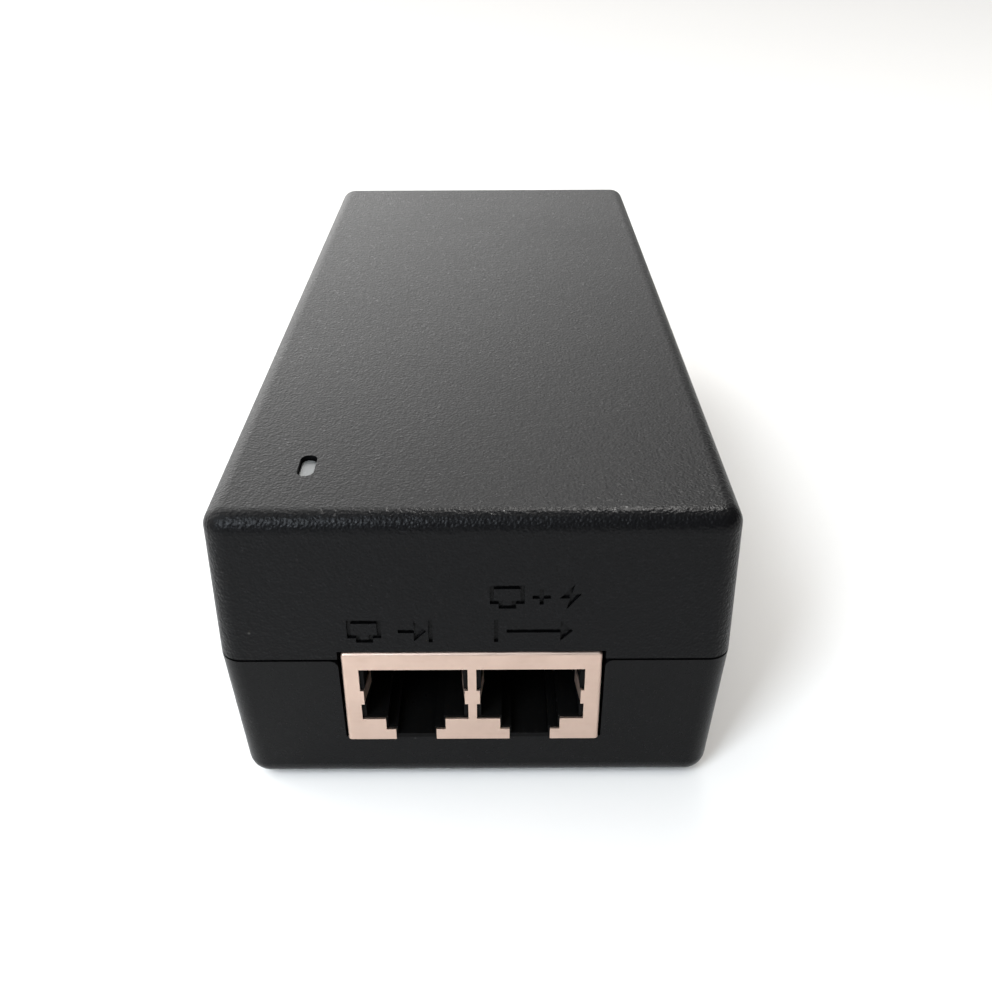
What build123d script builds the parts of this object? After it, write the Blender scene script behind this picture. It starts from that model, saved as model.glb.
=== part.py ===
"""Desktop Power-over-Ethernet injector: a mains supply and a twin network jack in a two-part case.

Millimetres. The network ports face -Y, the mains inlet faces +Y and +Z is up. The origin lies on
the surface that the injector stands on, under the middle of the case.
"""

import os
from math import cos, radians, sin, tan

from build123d import *

os.makedirs("parts", exist_ok=True)

LOW = (Align.CENTER, Align.CENTER, Align.MIN)
HIGH = (Align.CENTER, Align.CENTER, Align.MAX)
UP = (0, 0, 1)
DOWN = (0, 0, -1)

# ---------------------------------------------------------------- driving dimensions
# Case. Width and length are those at the seam, where the case is widest.
case_width = 60.6
case_length = 133.5
lower_height = 20.3
upper_height = 19.7
lower_draft = 3.0
upper_draft = 1.0
wall = 2.2
upright_edge_radius = 2.8
top_edge_radius = 2.3
bottom_edge_radius = 2.7
inner_upright_radius = 0.8
inner_end_radius = 0.6
seam_gap = 0.3
tongue_height = 1.6
tongue_thickness = 0.9
tongue_clearance = 0.12
roof_rib_thickness = 1.2
roof_rib_height = 3.0
roof_rib_places = (-30.0, -12.0, 6.0, 24.0)

# Feet, case screws and the blank rating plate under the case.
foot_radius = 4.0
foot_thickness = 1.1
foot_stand = 0.6
foot_inset = (10.3, 9.8)
foot_clearance = 0.15
case_screw_inset = 8.5
case_screw_front = 20.75
case_screw_rear = 16.75
screw_head_radius = 2.5
screw_head_height = 1.8
screw_shank_radius = 1.4
screw_length = 14.0
screw_clearance = 0.3
pilot_clearance = 0.05
screw_tip = 2.0
screw_cross = (2.6, 0.6, 1.9)
boss_radius = 3.9
boss_height = 9.6
upper_boss_radius = 3.0
well_depth = 5.0
plate_width = 34.0
plate_length = 62.0
plate_thickness = 0.15
plate_clearance = 0.3

# Main board and what holds it.
board_height = 7.7
board_thickness = 1.6
board_gap = 0.5
notch_clearance = 0.6
post_radius = 3.0
post_x = 22.8
post_inset = 4.5
board_screw_inset = 3.4
board_screw_y = 0.5
board_screw_radius = 1.0
board_screw_head = 2.6
board_screw_length = 5.0
lead_length = 2.0
lead_clearance = 0.15
sheet_thickness = 0.25
sheet_clearance = 0.4

# Twin network jack.
port_pitch = 13.97
jack_width = 30.87
jack_height = 13.55
jack_depth = 18.2
jack_offset = -0.4
jack_gap = 0.35
shield_thickness = 0.3
shield_bend_radius = 0.45
mouth_width = 12.95
mouth_top = 11.12
mouth_step_1 = 3.3
mouth_step_2 = 1.6
latch_width_1 = 7.28
latch_width_2 = 4.98
bump_width = 12.15
bump_low = 5.7
bump_high = 7.8
finger_length = 4.0
finger_reach = 0.45
finger_thickness = 0.2
cavity_width = 11.9
cavity_depth = 13.8
cavity_top = 10.85
cavity_inset = 0.2
jack_fit = 0.05
bezel = 1.5
contact_pitch = 1.02
contact_count = 8
contact_width = 0.36
contact_thickness = 0.3
contact_bend = 0.6
contact_slope = 25.0
contact_reach = 10.4
tail_pitch = 2.54
carrier_width = 10.3
comb_tooth = 0.4
comb_depth = 2.4

# Mains inlet, to the usual 10 A appliance inlet pattern.
inlet_width = 27.6
inlet_height = 20.4
inlet_depth = 20.0
inlet_chamfer = 4.6
inlet_wall = 1.7
inlet_recess = 16.5
inlet_gap = 0.25
inlet_lift = 0.3
flange_step = 1.2
pin_spacing = 14.0
pin_width = 4.0
pin_thickness = 2.0
line_pin_length = 13.2
earth_pin_length = 14.8
pin_drop = 2.0
tail_thickness = 0.8
tail_width = 2.0
inlet_leg_x = 10.5
inlet_leg_set_in = 4.0

# Indicator window, light pipe and lamp.
window_width = 2.0
window_length = 4.9
window_inset = (10.7, 11.8)
window_recess = 0.6
pipe_fit = 0.05
pipe_flange = 0.8
lamp_height = 6.0
lamp_gap = 0.3

# Symbols pressed into the front face, in place of words.
symbol_depth = 0.35
symbol_size = 3.2
symbol_stroke = 0.48

# ---------------------------------------------------------------- levels and planes
case_bottom = foot_stand
seam_z = case_bottom + lower_height
case_top = seam_z + upper_height
floor_z = case_bottom + wall
roof_z = case_top - wall
front_y = -case_length / 2
rear_y = case_length / 2
board_top = case_bottom + board_height
board_underside = board_top - board_thickness
lead_tip = board_underside - lead_length


def lower_half(half, z):
    """Half the lower cover's width or length at height z, where half is that at the seam."""
    return half - (seam_z - z) * tan(radians(lower_draft))


def upper_half(half, z):
    """Half the top cover's width or length at height z, where half is that at the seam."""
    return half - (z - seam_z) * tan(radians(upper_draft))


board_half_width = lower_half(case_width / 2, board_underside) - wall - board_gap
board_half_length = lower_half(case_length / 2, board_underside) - wall - board_gap
jack_back = front_y + jack_depth
jack_top = board_top + jack_height
port_x = [jack_offset - port_pitch / 2, jack_offset + port_pitch / 2]
contact_x = [(i - (contact_count - 1) / 2) * contact_pitch for i in range(contact_count)]
screw_x = lower_half(case_width / 2, case_bottom) - case_screw_inset + wall / 2
screw_places = [
    (side * screw_x, y)
    for y in (front_y + case_screw_front, rear_y - case_screw_rear)
    for side in (-1, 1)
]
foot_places = [
    (side * (case_width / 2 - foot_inset[0]), end * (case_length / 2 - foot_inset[1]))
    for side in (-1, 1)
    for end in (-1, 1)
]
window_x = -case_width / 2 + window_inset[0]
window_y = front_y + window_inset[1]

lead_holes = []  # (x, y, radius) of every hole that a lead or peg needs in the board
board_slots = []  # (x, y, width, length) of every slot that a flat tail needs in it


def save(builder, name):
    """Label a finished piece and write it out under its own name."""
    builder.part.label = name
    export_step(builder.part, f"parts/{name}.step")


def add_leads(places, radius, top):
    """Round leads from height top down through the board, with their holes noted for it."""
    lead_holes.extend((x, y, radius + lead_clearance) for x, y in places)
    with Locations(*[(x, y, lead_tip) for x, y in places]):
        Cylinder(radius, top - lead_tip, align=LOW)


def add_tails(places, width, length, top):
    """Flat tails from height top down through the board, with their slots noted for it."""
    grow = 2 * lead_clearance
    board_slots.extend((x, y, width + grow, length + grow) for x, y in places)
    with Locations(*[(x, y, lead_tip) for x, y in places]):
        Box(width, length, top - lead_tip, align=LOW)


# ---------------------------------------------------------------- case
def tapered_block(width, length, height, draft, upright_radius, end_radius, way):
    """A block that starts at the seam and narrows by draft on its way up or down."""
    with BuildPart() as block:
        with BuildSketch(Plane.XY.offset(seam_z)):
            Rectangle(width, length)
        extrude(amount=height, dir=way, taper=draft)
        uprights = block.edges().filter_by(lambda e: abs((e @ 0).Z - (e @ 1).Z) > height / 2)
        fillet(uprights, upright_radius)
        fillet(block.faces().sort_by(Axis.Z)[-1 if way == UP else 0].edges(), end_radius)
    return block.part


def inlet_outline(grow):
    """The mains inlet's outline with its chamfered upper corners, grown all round."""
    half, low = inlet_width / 2, board_top + inlet_lift
    high = low + inlet_height
    with BuildSketch() as outline:
        with BuildLine():
            Polyline(
                (-half, low),
                (half, low),
                (half, high - inlet_chamfer),
                (half - inlet_chamfer, high),
                (inlet_chamfer - half, high),
                (-half, high - inlet_chamfer),
                close=True,
            )
        make_face()
        if grow:
            offset(amount=grow, kind=Kind.INTERSECTION)
        fillet(outline.vertices(), 0.6)
    return outline.sketch


lower_outside = tapered_block(
    case_width, case_length, lower_height, lower_draft, upright_edge_radius, bottom_edge_radius, DOWN
)
lower_inside = tapered_block(
    case_width - 2 * wall,
    case_length - 2 * wall,
    lower_height - wall,
    lower_draft,
    inner_upright_radius,
    inner_end_radius,
    DOWN,
)
upper_outside = tapered_block(
    case_width, case_length, upper_height, upper_draft, upright_edge_radius, top_edge_radius, UP
)
upper_inside = tapered_block(
    case_width - 2 * wall,
    case_length - 2 * wall,
    upper_height - wall,
    upper_draft,
    inner_upright_radius,
    inner_end_radius,
    UP,
)
inlet_cutout = inlet_outline(inlet_gap)
tongue_outer = wall - tongue_thickness
tongue_corner = upright_edge_radius - tongue_outer
board_screw_places = [
    (side * (board_half_width - board_screw_inset), board_screw_y) for side in (-1, 1)
]
post_places = [
    (side * post_x, end * (board_half_length - post_inset)) for side in (-1, 1) for end in (-1, 1)
]

with BuildPart() as bottom_cover:
    add(lower_outside)
    add(lower_inside, mode=Mode.SUBTRACT)
    # The rim stops short of the seam, which leaves the shadow line.
    with BuildSketch(Plane.XY.offset(seam_z - seam_gap / 2)):
        Rectangle(case_width + 1, case_length + 1)
    extrude(amount=seam_gap, mode=Mode.SUBTRACT)
    # Way out for the network jack, with rounded shoulders at the rim.
    with BuildSketch(Plane.XZ.offset(-front_y - wall - 1)):
        with Locations((jack_offset, board_top - jack_gap / 2)):
            Rectangle(jack_width + 2 * jack_gap, seam_z, align=(Align.CENTER, Align.MIN))
    extrude(amount=wall + 2, mode=Mode.SUBTRACT)
    shoulders = bottom_cover.edges().filter_by(Axis.Y).filter_by(
        lambda e: abs(e.center().Z - seam_z + seam_gap / 2) < 0.01
        and abs(abs(e.center().X - jack_offset) - jack_width / 2 - jack_gap) < 0.01
        and e.center().Y < 0
    )
    fillet(shoulders, 1.0)
    # Tongue that the top cover closes over.
    with BuildSketch(Plane.XY.offset(seam_z - wall)):
        RectangleRounded(
            case_width - 2 * tongue_outer, case_length - 2 * tongue_outer, tongue_corner
        )
        RectangleRounded(
            case_width - 2 * wall, case_length - 2 * wall, inner_upright_radius, mode=Mode.SUBTRACT
        )
    extrude(amount=wall + tongue_height)
    with BuildSketch(Plane.XZ.offset(-front_y - wall - 1)):
        with Locations((jack_offset, board_top - jack_gap / 2)):
            Rectangle(jack_width + 2 * jack_gap, case_top, align=(Align.CENTER, Align.MIN))
    extrude(amount=wall + 2, mode=Mode.SUBTRACT)
    with BuildSketch(Plane.XZ.offset(-rear_y - 1)):
        add(inlet_cutout)
    extrude(amount=wall + 3, mode=Mode.SUBTRACT)
    # Bosses for the case screws, posts for the board.
    with Locations(*[(x, y, floor_z - 0.5) for x, y in screw_places]):
        Cylinder(boss_radius, boss_height + 0.5, align=LOW)
    with Locations(*[(x, y, case_bottom) for x, y in screw_places]):
        Cylinder(screw_head_radius + screw_clearance, well_depth, align=LOW, mode=Mode.SUBTRACT)
        Cylinder(
            screw_shank_radius + screw_clearance, boss_height + wall, align=LOW, mode=Mode.SUBTRACT
        )
    with Locations(*[(x, y, floor_z - 0.5) for x, y in board_screw_places + post_places]):
        Cylinder(post_radius, board_underside - floor_z + 0.5, align=LOW)
    with Locations(*[(x, y, board_underside) for x, y in board_screw_places]):
        Cylinder(
            board_screw_radius + pilot_clearance, board_screw_length, align=HIGH, mode=Mode.SUBTRACT
        )
    # Seats for the feet and the rating plate.
    with Locations(*[(x, y, case_bottom) for x, y in foot_places]):
        Cylinder(
            foot_radius + foot_clearance, foot_thickness - foot_stand, align=LOW, mode=Mode.SUBTRACT
        )
    with Locations((0, 0, case_bottom)):
        Box(
            plate_width + 2 * plate_clearance,
            plate_length + 2 * plate_clearance,
            2 * plate_thickness,
            mode=Mode.SUBTRACT,
        )
save(bottom_cover, "bottom_cover")


def front_plane(x, z):
    """A plane on the top cover's leaning front face at that place, with its Y up the face."""
    lean = radians(upper_draft)
    y = -upper_half(case_length / 2, z)
    return Plane(origin=(x, y, z), x_dir=(1, 0, 0), z_dir=(0, -cos(lean), sin(lean)))


def port_symbol():
    """The outline of a network port, with the notch for the latch at its foot."""
    half, high, foot = 0.62 * symbol_size, 0.5 * symbol_size, -0.3 * symbol_size
    with BuildSketch() as symbol:
        with BuildLine():
            Polyline(
                (-half, foot),
                (-half / 2, foot),
                (-half / 2, -high),
                (half / 2, -high),
                (half / 2, foot),
                (half, foot),
                (half, high),
                (-half, high),
                close=True,
            )
        make_face()
        offset(amount=-symbol_stroke, kind=Kind.INTERSECTION, mode=Mode.SUBTRACT)
    return symbol.sketch


def arrow_symbol(way, reach):
    """An arrow along X with a bar at its tip (way 1) or at its tail (way -1)."""
    head = 0.45 * symbol_size
    with BuildSketch() as symbol:
        Rectangle(2 * reach - head, symbol_stroke)
        with BuildLine():
            Polyline((reach - head, head), (reach, 0), (reach - head, -head), close=True)
        make_face()
        with Locations((way * (reach + symbol_stroke), 0)):
            Rectangle(symbol_stroke, symbol_size)
    return symbol.sketch


def bolt_symbol():
    """A lightning flash for the port that carries power."""
    tall, wide = 0.55 * symbol_size, 0.3 * symbol_size
    with BuildSketch() as symbol:
        with BuildLine():
            Polyline(
                (wide / 2, tall),
                (-1.3 * wide, -0.12 * tall),
                (-0.1 * wide, -0.12 * tall),
                (-wide / 2, -tall),
                (1.3 * wide, 0.22 * tall),
                (0.1 * wide, 0.22 * tall),
                close=True,
            )
        make_face()
    return symbol.sketch


def plus_symbol():
    """A small plus between the port and the flash."""
    with BuildSketch() as symbol:
        Rectangle(0.65 * symbol_size, symbol_stroke)
        Rectangle(symbol_stroke, 0.65 * symbol_size)
    return symbol.sketch


symbol_row_1 = jack_top + 3.3
symbol_row_2 = symbol_row_1 + 4.8
front_symbols = [
    (port_symbol(), port_x[0] - 5.4, symbol_row_1),
    (arrow_symbol(1, 2.0), port_x[0] - 0.2, symbol_row_1),
    (port_symbol(), port_x[1] - 2.8, symbol_row_2),
    (plus_symbol(), port_x[1] + 1.1, symbol_row_2),
    (bolt_symbol(), port_x[1] + 4.4, symbol_row_2),
    (arrow_symbol(-1, 4.2), port_x[1] + 0.6, symbol_row_1),
]

with BuildPart() as top_cover:
    add(upper_outside)
    add(upper_inside, mode=Mode.SUBTRACT)
    with BuildSketch(Plane.XY.offset(seam_z)):
        Rectangle(case_width + 1, case_length + 1)
    extrude(amount=seam_gap / 2, mode=Mode.SUBTRACT)
    # Rebate for the lower cover's tongue.
    rebate = tongue_outer - tongue_clearance
    with BuildSketch(Plane.XY.offset(seam_z)):
        RectangleRounded(
            case_width - 2 * rebate, case_length - 2 * rebate, tongue_corner + tongue_clearance
        )
    extrude(amount=tongue_height + tongue_clearance, mode=Mode.SUBTRACT)
    # Ways out for the network jack and the mains inlet.
    with BuildSketch(Plane.XZ.offset(-front_y - wall - 1)):
        with Locations((jack_offset, jack_top + jack_gap)):
            Rectangle(jack_width + 2 * jack_gap, jack_height, align=(Align.CENTER, Align.MAX))
    extrude(amount=wall + 2, mode=Mode.SUBTRACT)
    with BuildSketch(Plane.XZ.offset(-rear_y - 1)):
        add(inlet_cutout)
    extrude(amount=wall + 3, mode=Mode.SUBTRACT)
    # Upper halves of the screw bosses, standing on the lower ones.
    upper_boss_z = floor_z + boss_height
    with BuildSketch(Plane.XY.offset(upper_boss_z)):
        with Locations(*screw_places):
            Circle(upper_boss_radius)
    extrude(amount=roof_z - upper_boss_z + 0.5)
    with Locations(*[(x, y, upper_boss_z) for x, y in screw_places]):
        Cylinder(
            screw_shank_radius + pilot_clearance, screw_length, align=LOW, mode=Mode.SUBTRACT
        )
    # Stiffening ribs across the roof.
    rib_half = upper_half(case_width / 2, roof_z) - wall
    with Locations(*[(0, y, roof_z + 0.5) for y in roof_rib_places]):
        Box(2 * rib_half, roof_rib_thickness, roof_rib_height + 0.5, align=HIGH)
    # Window for the light pipe.
    with BuildSketch(Plane.XY.offset(roof_z - 1)):
        with Locations((window_x, window_y)):
            SlotOverall(window_length, window_width, rotation=90)
    extrude(amount=wall + 2, mode=Mode.SUBTRACT)
    for outline, x, z in front_symbols:
        with BuildSketch(front_plane(x, z)):
            add(outline)
        extrude(amount=symbol_depth, both=True, mode=Mode.SUBTRACT)
save(top_cover, "top_cover")

with BuildPart() as case_screws:
    seat = case_bottom + well_depth
    with Locations(*[(x, y, seat) for x, y in screw_places]):
        Cylinder(screw_head_radius, screw_head_height, align=HIGH)
        Cylinder(screw_shank_radius, screw_length - screw_tip, align=LOW)
    fillet(case_screws.faces().filter_by(Axis.Z).group_by(Axis.Z)[0].edges(), 0.5)
    with Locations(*[(x, y, seat + screw_length - screw_tip) for x, y in screw_places]):
        Cone(screw_shank_radius, 0.4, screw_tip, align=LOW)
    with Locations(*[(x, y, seat - screw_head_height) for x, y in screw_places]):
        arm, slot, deep = screw_cross
        Box(arm, slot, deep, mode=Mode.SUBTRACT)
        Box(slot, arm, deep, mode=Mode.SUBTRACT)
save(case_screws, "case_screws")

with BuildPart() as rubber_feet:
    with Locations(*[(x, y, 0) for x, y in foot_places]):
        Cylinder(foot_radius, foot_thickness, align=LOW)
    fillet(rubber_feet.faces().filter_by(Axis.Z).group_by(Axis.Z)[0].edges(), 0.25)
save(rubber_feet, "rubber_feet")

with BuildPart() as rating_plate:
    with BuildSketch(Plane.XY.offset(case_bottom)):
        RectangleRounded(plate_width, plate_length, 1.5)
    extrude(amount=plate_thickness)
save(rating_plate, "rating_plate")

with BuildPart() as insulation_sheet:
    sheet_inset = wall + inner_end_radius + sheet_clearance
    sheet_half_width = lower_half(case_width / 2, floor_z) - sheet_inset
    sheet_half_length = lower_half(case_length / 2, floor_z) - sheet_inset
    with BuildSketch(Plane.XY.offset(floor_z)):
        RectangleRounded(2 * sheet_half_width, 2 * sheet_half_length, 1.0)
        with Locations(*screw_places):
            Circle(boss_radius + sheet_clearance, mode=Mode.SUBTRACT)
        with Locations(*[(x * 1.04, y) for x, y in screw_places]):
            Rectangle(2 * boss_radius, 2 * boss_radius + 2 * sheet_clearance, mode=Mode.SUBTRACT)
        with Locations(*(board_screw_places + post_places)):
            Circle(post_radius + sheet_clearance, mode=Mode.SUBTRACT)
    extrude(amount=sheet_thickness)
save(insulation_sheet, "insulation_sheet")


# ---------------------------------------------------------------- indicator
with BuildPart() as light_pipe:
    with BuildSketch(Plane.XY.offset(board_top + lamp_height + lamp_gap)):
        with Locations((window_x, window_y)):
            SlotOverall(window_length - 2 * pipe_fit, window_width - 2 * pipe_fit, rotation=90)
    extrude(amount=case_top - window_recess - board_top - lamp_height - lamp_gap)
    with BuildSketch(Plane.XY.offset(roof_z)):
        with Locations((window_x, window_y)):
            SlotOverall(window_length + pipe_flange, window_width + pipe_flange, rotation=90)
    extrude(amount=-1.0)
    fillet(light_pipe.faces().sort_by(Axis.Z)[-1].edges(), 0.2)
save(light_pipe, "light_pipe")

with BuildPart() as indicator_lamp:
    with BuildSketch(Plane.XY.offset(board_top)):
        with Locations((window_x, window_y)):
            RectangleRounded(window_width, window_length, 0.3)
    extrude(amount=lamp_height)
    with BuildSketch(Plane.XY.offset(board_top)):
        with Locations((window_x, window_y)):
            RectangleRounded(window_width + 0.8, window_length + 0.8, 0.3)
    extrude(amount=1.2)
    add_leads([(window_x, window_y - 1.27), (window_x, window_y + 1.27)], 0.25, board_top + 1)
save(indicator_lamp, "indicator_lamp")


# ---------------------------------------------------------------- network jack
def mouth_outline(width, top, step_1, step_2, latch_1, latch_2, foot):
    """Outline of one port, seen from the front, with its middle at X 0 and the board at Y 0."""
    with BuildSketch() as outline:
        with BuildLine():
            Polyline(
                (-width / 2, top),
                (-width / 2, step_1),
                (-latch_1 / 2, step_1),
                (-latch_1 / 2, step_2),
                (-latch_2 / 2, step_2),
                (-latch_2 / 2, foot),
                (latch_2 / 2, foot),
                (latch_2 / 2, step_2),
                (latch_1 / 2, step_2),
                (latch_1 / 2, step_1),
                (width / 2, step_1),
                (width / 2, top),
                close=True,
            )
        make_face()
    return outline.sketch


jack_plane = Plane.XZ.offset(-front_y)  # its normal points out of the ports
shield_mouth = mouth_outline(
    mouth_width, mouth_top, mouth_step_1, mouth_step_2, latch_width_1, latch_width_2, -1.0
)
cavity = mouth_outline(
    cavity_width,
    cavity_top,
    mouth_step_1 + cavity_inset,
    mouth_step_2 + cavity_inset,
    latch_width_1 - 2 * cavity_inset,
    latch_width_2 - 2 * cavity_inset,
    0.6,
)
bump = (mouth_width - bump_width) / 2

with BuildPart() as jack_shield:
    with Locations((jack_offset, front_y + jack_depth / 2, board_top)):
        Box(jack_width, jack_depth, jack_height, align=LOW)
    fillet(
        jack_shield.edges().filter_by(
            lambda e: e.center().Y < jack_back - 1 and e.center().Z > board_top + 0.1
        ),
        shield_bend_radius,
    )
    with Locations((jack_offset, front_y + jack_depth / 2, board_top - 1)):
        Box(
            jack_width - 2 * shield_thickness,
            jack_depth - 2 * shield_thickness,
            jack_height + 1 - shield_thickness,
            align=LOW,
            mode=Mode.SUBTRACT,
        )
    with BuildSketch(jack_plane):
        for x in port_x:
            with Locations((x, board_top)):
                add(shield_mouth)
    extrude(amount=-2 * shield_thickness, mode=Mode.SUBTRACT)
    # Ears that narrow each mouth, and the spring fingers folded in from them.
    for x in port_x:
        for side in (-1, 1):
            edge = x + side * bump_width / 2
            with BuildSketch(jack_plane):
                with Locations((edge + side * bump / 2, board_top + (bump_low + bump_high) / 2)):
                    Rectangle(bump + 0.02, bump_high - bump_low)
            extrude(amount=-shield_thickness)
            with BuildSketch(Plane.XY.offset(board_top + bump_low + 0.1)):
                with BuildLine():
                    Polyline(
                        (edge, front_y + 0.05),
                        (edge + side * finger_thickness, front_y + 0.05),
                        (
                            edge + side * (finger_thickness - finger_reach),
                            front_y + finger_length,
                        ),
                        (edge - side * finger_reach, front_y + finger_length),
                        close=True,
                    )
                make_face()
            extrude(amount=bump_high - bump_low - 0.2)
    side_x = (jack_width - shield_thickness) / 2
    add_tails(
        [(jack_offset - side_x, front_y + 9), (jack_offset + side_x, front_y + 9)],
        shield_thickness,
        1.4,
        board_top + 1,
    )
save(jack_shield, "jack_shield")

# Distances below are measured back from the jack's front face.
bend_y = front_y + bezel + contact_bend + contact_thickness / 2 + 0.3
bend_z = board_top + cavity_top + 0.3
carrier_top = jack_top - shield_thickness - 2 * jack_fit
carrier_front = bend_y + 0.4
carrier_back = jack_back - shield_thickness - 2 * jack_fit
carrier_floor = board_top + cavity_top + 0.15
comb_face = front_y + cavity_depth

with BuildPart() as jack_housing:
    with Locations((jack_offset, front_y + shield_thickness + jack_fit, board_top)):
        Box(
            jack_width - 2 * shield_thickness - 2 * jack_fit,
            jack_depth - 2 * shield_thickness - 2 * jack_fit,
            jack_height - shield_thickness - jack_fit,
            align=(Align.CENTER, Align.MIN, Align.MIN),
        )
    for x in port_x:
        with BuildSketch(jack_plane):
            with Locations((x, board_top)):
                add(cavity)
        extrude(amount=-cavity_depth, mode=Mode.SUBTRACT)
        # Bay for the contact carrier, open to the roof and the back.
        with Locations((x, front_y + bezel, board_top + cavity_top - 0.4)):
            Box(
                carrier_width + 2 * jack_fit,
                jack_depth,
                jack_height,
                align=(Align.CENTER, Align.MIN, Align.MIN),
                mode=Mode.SUBTRACT,
            )
        with Locations((x, comb_face - jack_fit, board_top + 0.5)):
            Box(
                carrier_width + 2 * jack_fit,
                jack_depth,
                jack_height,
                align=(Align.CENTER, Align.MIN, Align.MIN),
                mode=Mode.SUBTRACT,
            )
        with Locations((x, comb_face - jack_fit, board_top - 0.5)):
            Box(
                carrier_width - 1.0,
                jack_depth,
                jack_height,
                align=(Align.CENTER, Align.MIN, Align.MIN),
                mode=Mode.SUBTRACT,
            )
        # Pockets that the shield's fingers spring into.
        with Locations((x, front_y, board_top + bump_low - 0.1)):
            Box(
                bump_width + 2 * finger_thickness + 0.3,
                finger_length + 0.8,
                bump_high - bump_low + 0.2,
                align=(Align.CENTER, Align.MIN, Align.MIN),
                mode=Mode.SUBTRACT,
            )
    peg_places = [(jack_offset - 11.43, front_y + 11.5), (jack_offset + 11.43, front_y + 11.5)]
    add_leads(peg_places, 1.5, board_top + 0.5)
save(jack_housing, "jack_housing")


def contact_lead_outline(tail_y):
    """Side view of a contact's fixed run: tail, rise, run to the front and upper part of the bend."""
    half = contact_thickness / 2
    run_z = bend_z + contact_bend
    with BuildSketch() as outline:
        with Locations((tail_y, (lead_tip + run_z + half) / 2)):
            Rectangle(contact_thickness, run_z + half - lead_tip)
        with Locations(((bend_y + tail_y + half) / 2, run_z)):
            Rectangle(tail_y + half - bend_y, contact_thickness)
        with BuildLine():
            outer, inner = contact_bend + half, contact_bend - half
            CenterArc((bend_y, bend_z), outer, 90, 90)
            Line((bend_y - outer, bend_z), (bend_y - inner, bend_z))
            CenterArc((bend_y, bend_z), inner, 90, 90)
            Line((bend_y, bend_z + inner), (bend_y, bend_z + outer))
        make_face()
    return outline.sketch


def contact_spring_outline():
    """Side view of a contact's free run: lower part of the bend, then the slope to its tip."""
    half = contact_thickness / 2
    outer, inner = contact_bend + half, contact_bend - half
    lean = radians(contact_slope)

    def on_arc(radius):
        return (bend_y - radius * sin(lean), bend_z - radius * cos(lean))

    def at_tip(radius):
        x, z = on_arc(radius)
        return (x + contact_reach * cos(lean), z - contact_reach * sin(lean))

    with BuildSketch() as outline:
        with BuildLine():
            gap = 2.0
            CenterArc((bend_y, bend_z), outer, 180 + gap, 90 - contact_slope - gap)
            Line(on_arc(outer), at_tip(outer))
            Line(at_tip(outer), at_tip(inner))
            Line(at_tip(inner), on_arc(inner))
            CenterArc((bend_y, bend_z), inner, 180 + gap, 90 - contact_slope - gap)
            turn = radians(gap)
            Line(
                (bend_y - inner * cos(turn), bend_z - inner * sin(turn)),
                (bend_y - outer * cos(turn), bend_z - outer * sin(turn)),
            )
        make_face()
    return outline.sketch


side_view = Plane(origin=(0, 0, 0), x_dir=(0, 1, 0), z_dir=(1, 0, 0))
tail_rows = (carrier_back - 0.9, carrier_back - 0.9 - tail_pitch / 2)
spring_side_view = contact_spring_outline()
for port, x in zip(("data_in", "power_out"), port_x):
    with BuildPart() as contact_leads:
        for i, dx in enumerate(contact_x):
            with BuildSketch(side_view.offset(x + dx)):
                add(contact_lead_outline(tail_rows[i % 2]))
            extrude(amount=contact_width / 2, both=True)
            lead_holes.append((x + dx, tail_rows[i % 2], contact_width / 2 + lead_clearance))
    save(contact_leads, f"{port}_contact_leads")

    with BuildPart() as contact_springs:
        for dx in contact_x:
            with BuildSketch(side_view.offset(x + dx)):
                add(spring_side_view)
            extrude(amount=contact_width / 2, both=True)
    save(contact_springs, f"{port}_contact_springs")

    with BuildPart() as contact_carrier:
        with Locations((x, carrier_front, carrier_floor)):
            Box(
                carrier_width,
                carrier_back - carrier_front,
                carrier_top - carrier_floor,
                align=(Align.CENTER, Align.MIN, Align.MIN),
            )
        with Locations((x, comb_face, board_top + 0.5)):
            Box(
                carrier_width,
                carrier_back - comb_face,
                carrier_top - board_top - 0.5,
                align=(Align.CENTER, Align.MIN, Align.MIN),
            )
        teeth = [x + (i - contact_count / 2) * contact_pitch for i in range(contact_count + 1)]
        with Locations(*[(tooth, comb_face + 0.5, board_top + 4.5) for tooth in teeth]):
            Box(
                comb_tooth,
                comb_depth + 0.5,
                carrier_floor - board_top - 4.4,
                align=(Align.CENTER, Align.MAX, Align.MIN),
            )
        add(contact_leads.part, mode=Mode.SUBTRACT)
    save(contact_carrier, f"{port}_contact_carrier")


# ---------------------------------------------------------------- mains inlet
inlet_mouth = lower_half(case_length / 2, seam_z) - 0.05
inlet_back = inlet_mouth - inlet_depth
inlet_floor = board_top + inlet_lift
inlet_middle = inlet_floor + inlet_height / 2
recess_back = inlet_mouth - inlet_recess
inlet_body_outline = inlet_outline(0)
inlet_recess_outline = inlet_outline(-inlet_wall)
flange_y = lower_half(case_length / 2, inlet_floor) - wall - 0.1

with BuildPart() as inlet_body:
    with BuildSketch(Plane.XZ.offset(-inlet_mouth)):
        add(inlet_body_outline)
    extrude(amount=inlet_depth)
    with Locations((0, flange_y, inlet_floor)):
        Box(
            inlet_width + 2 * flange_step,
            flange_step,
            inlet_height + flange_step,
            align=(Align.CENTER, Align.MAX, Align.MIN),
        )
    with BuildSketch(Plane.XZ.offset(-inlet_mouth)):
        add(inlet_recess_outline)
    extrude(amount=inlet_recess, mode=Mode.SUBTRACT)
    inlet_legs = [(side * inlet_leg_x, inlet_back + inlet_leg_set_in) for side in (-1, 1)]
    with Locations(*[(x, y, board_top) for x, y in inlet_legs]):
        Box(3, 3, inlet_lift + 0.2, align=LOW)
    add_leads(inlet_legs, 0.9, board_top + 0.5)

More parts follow.
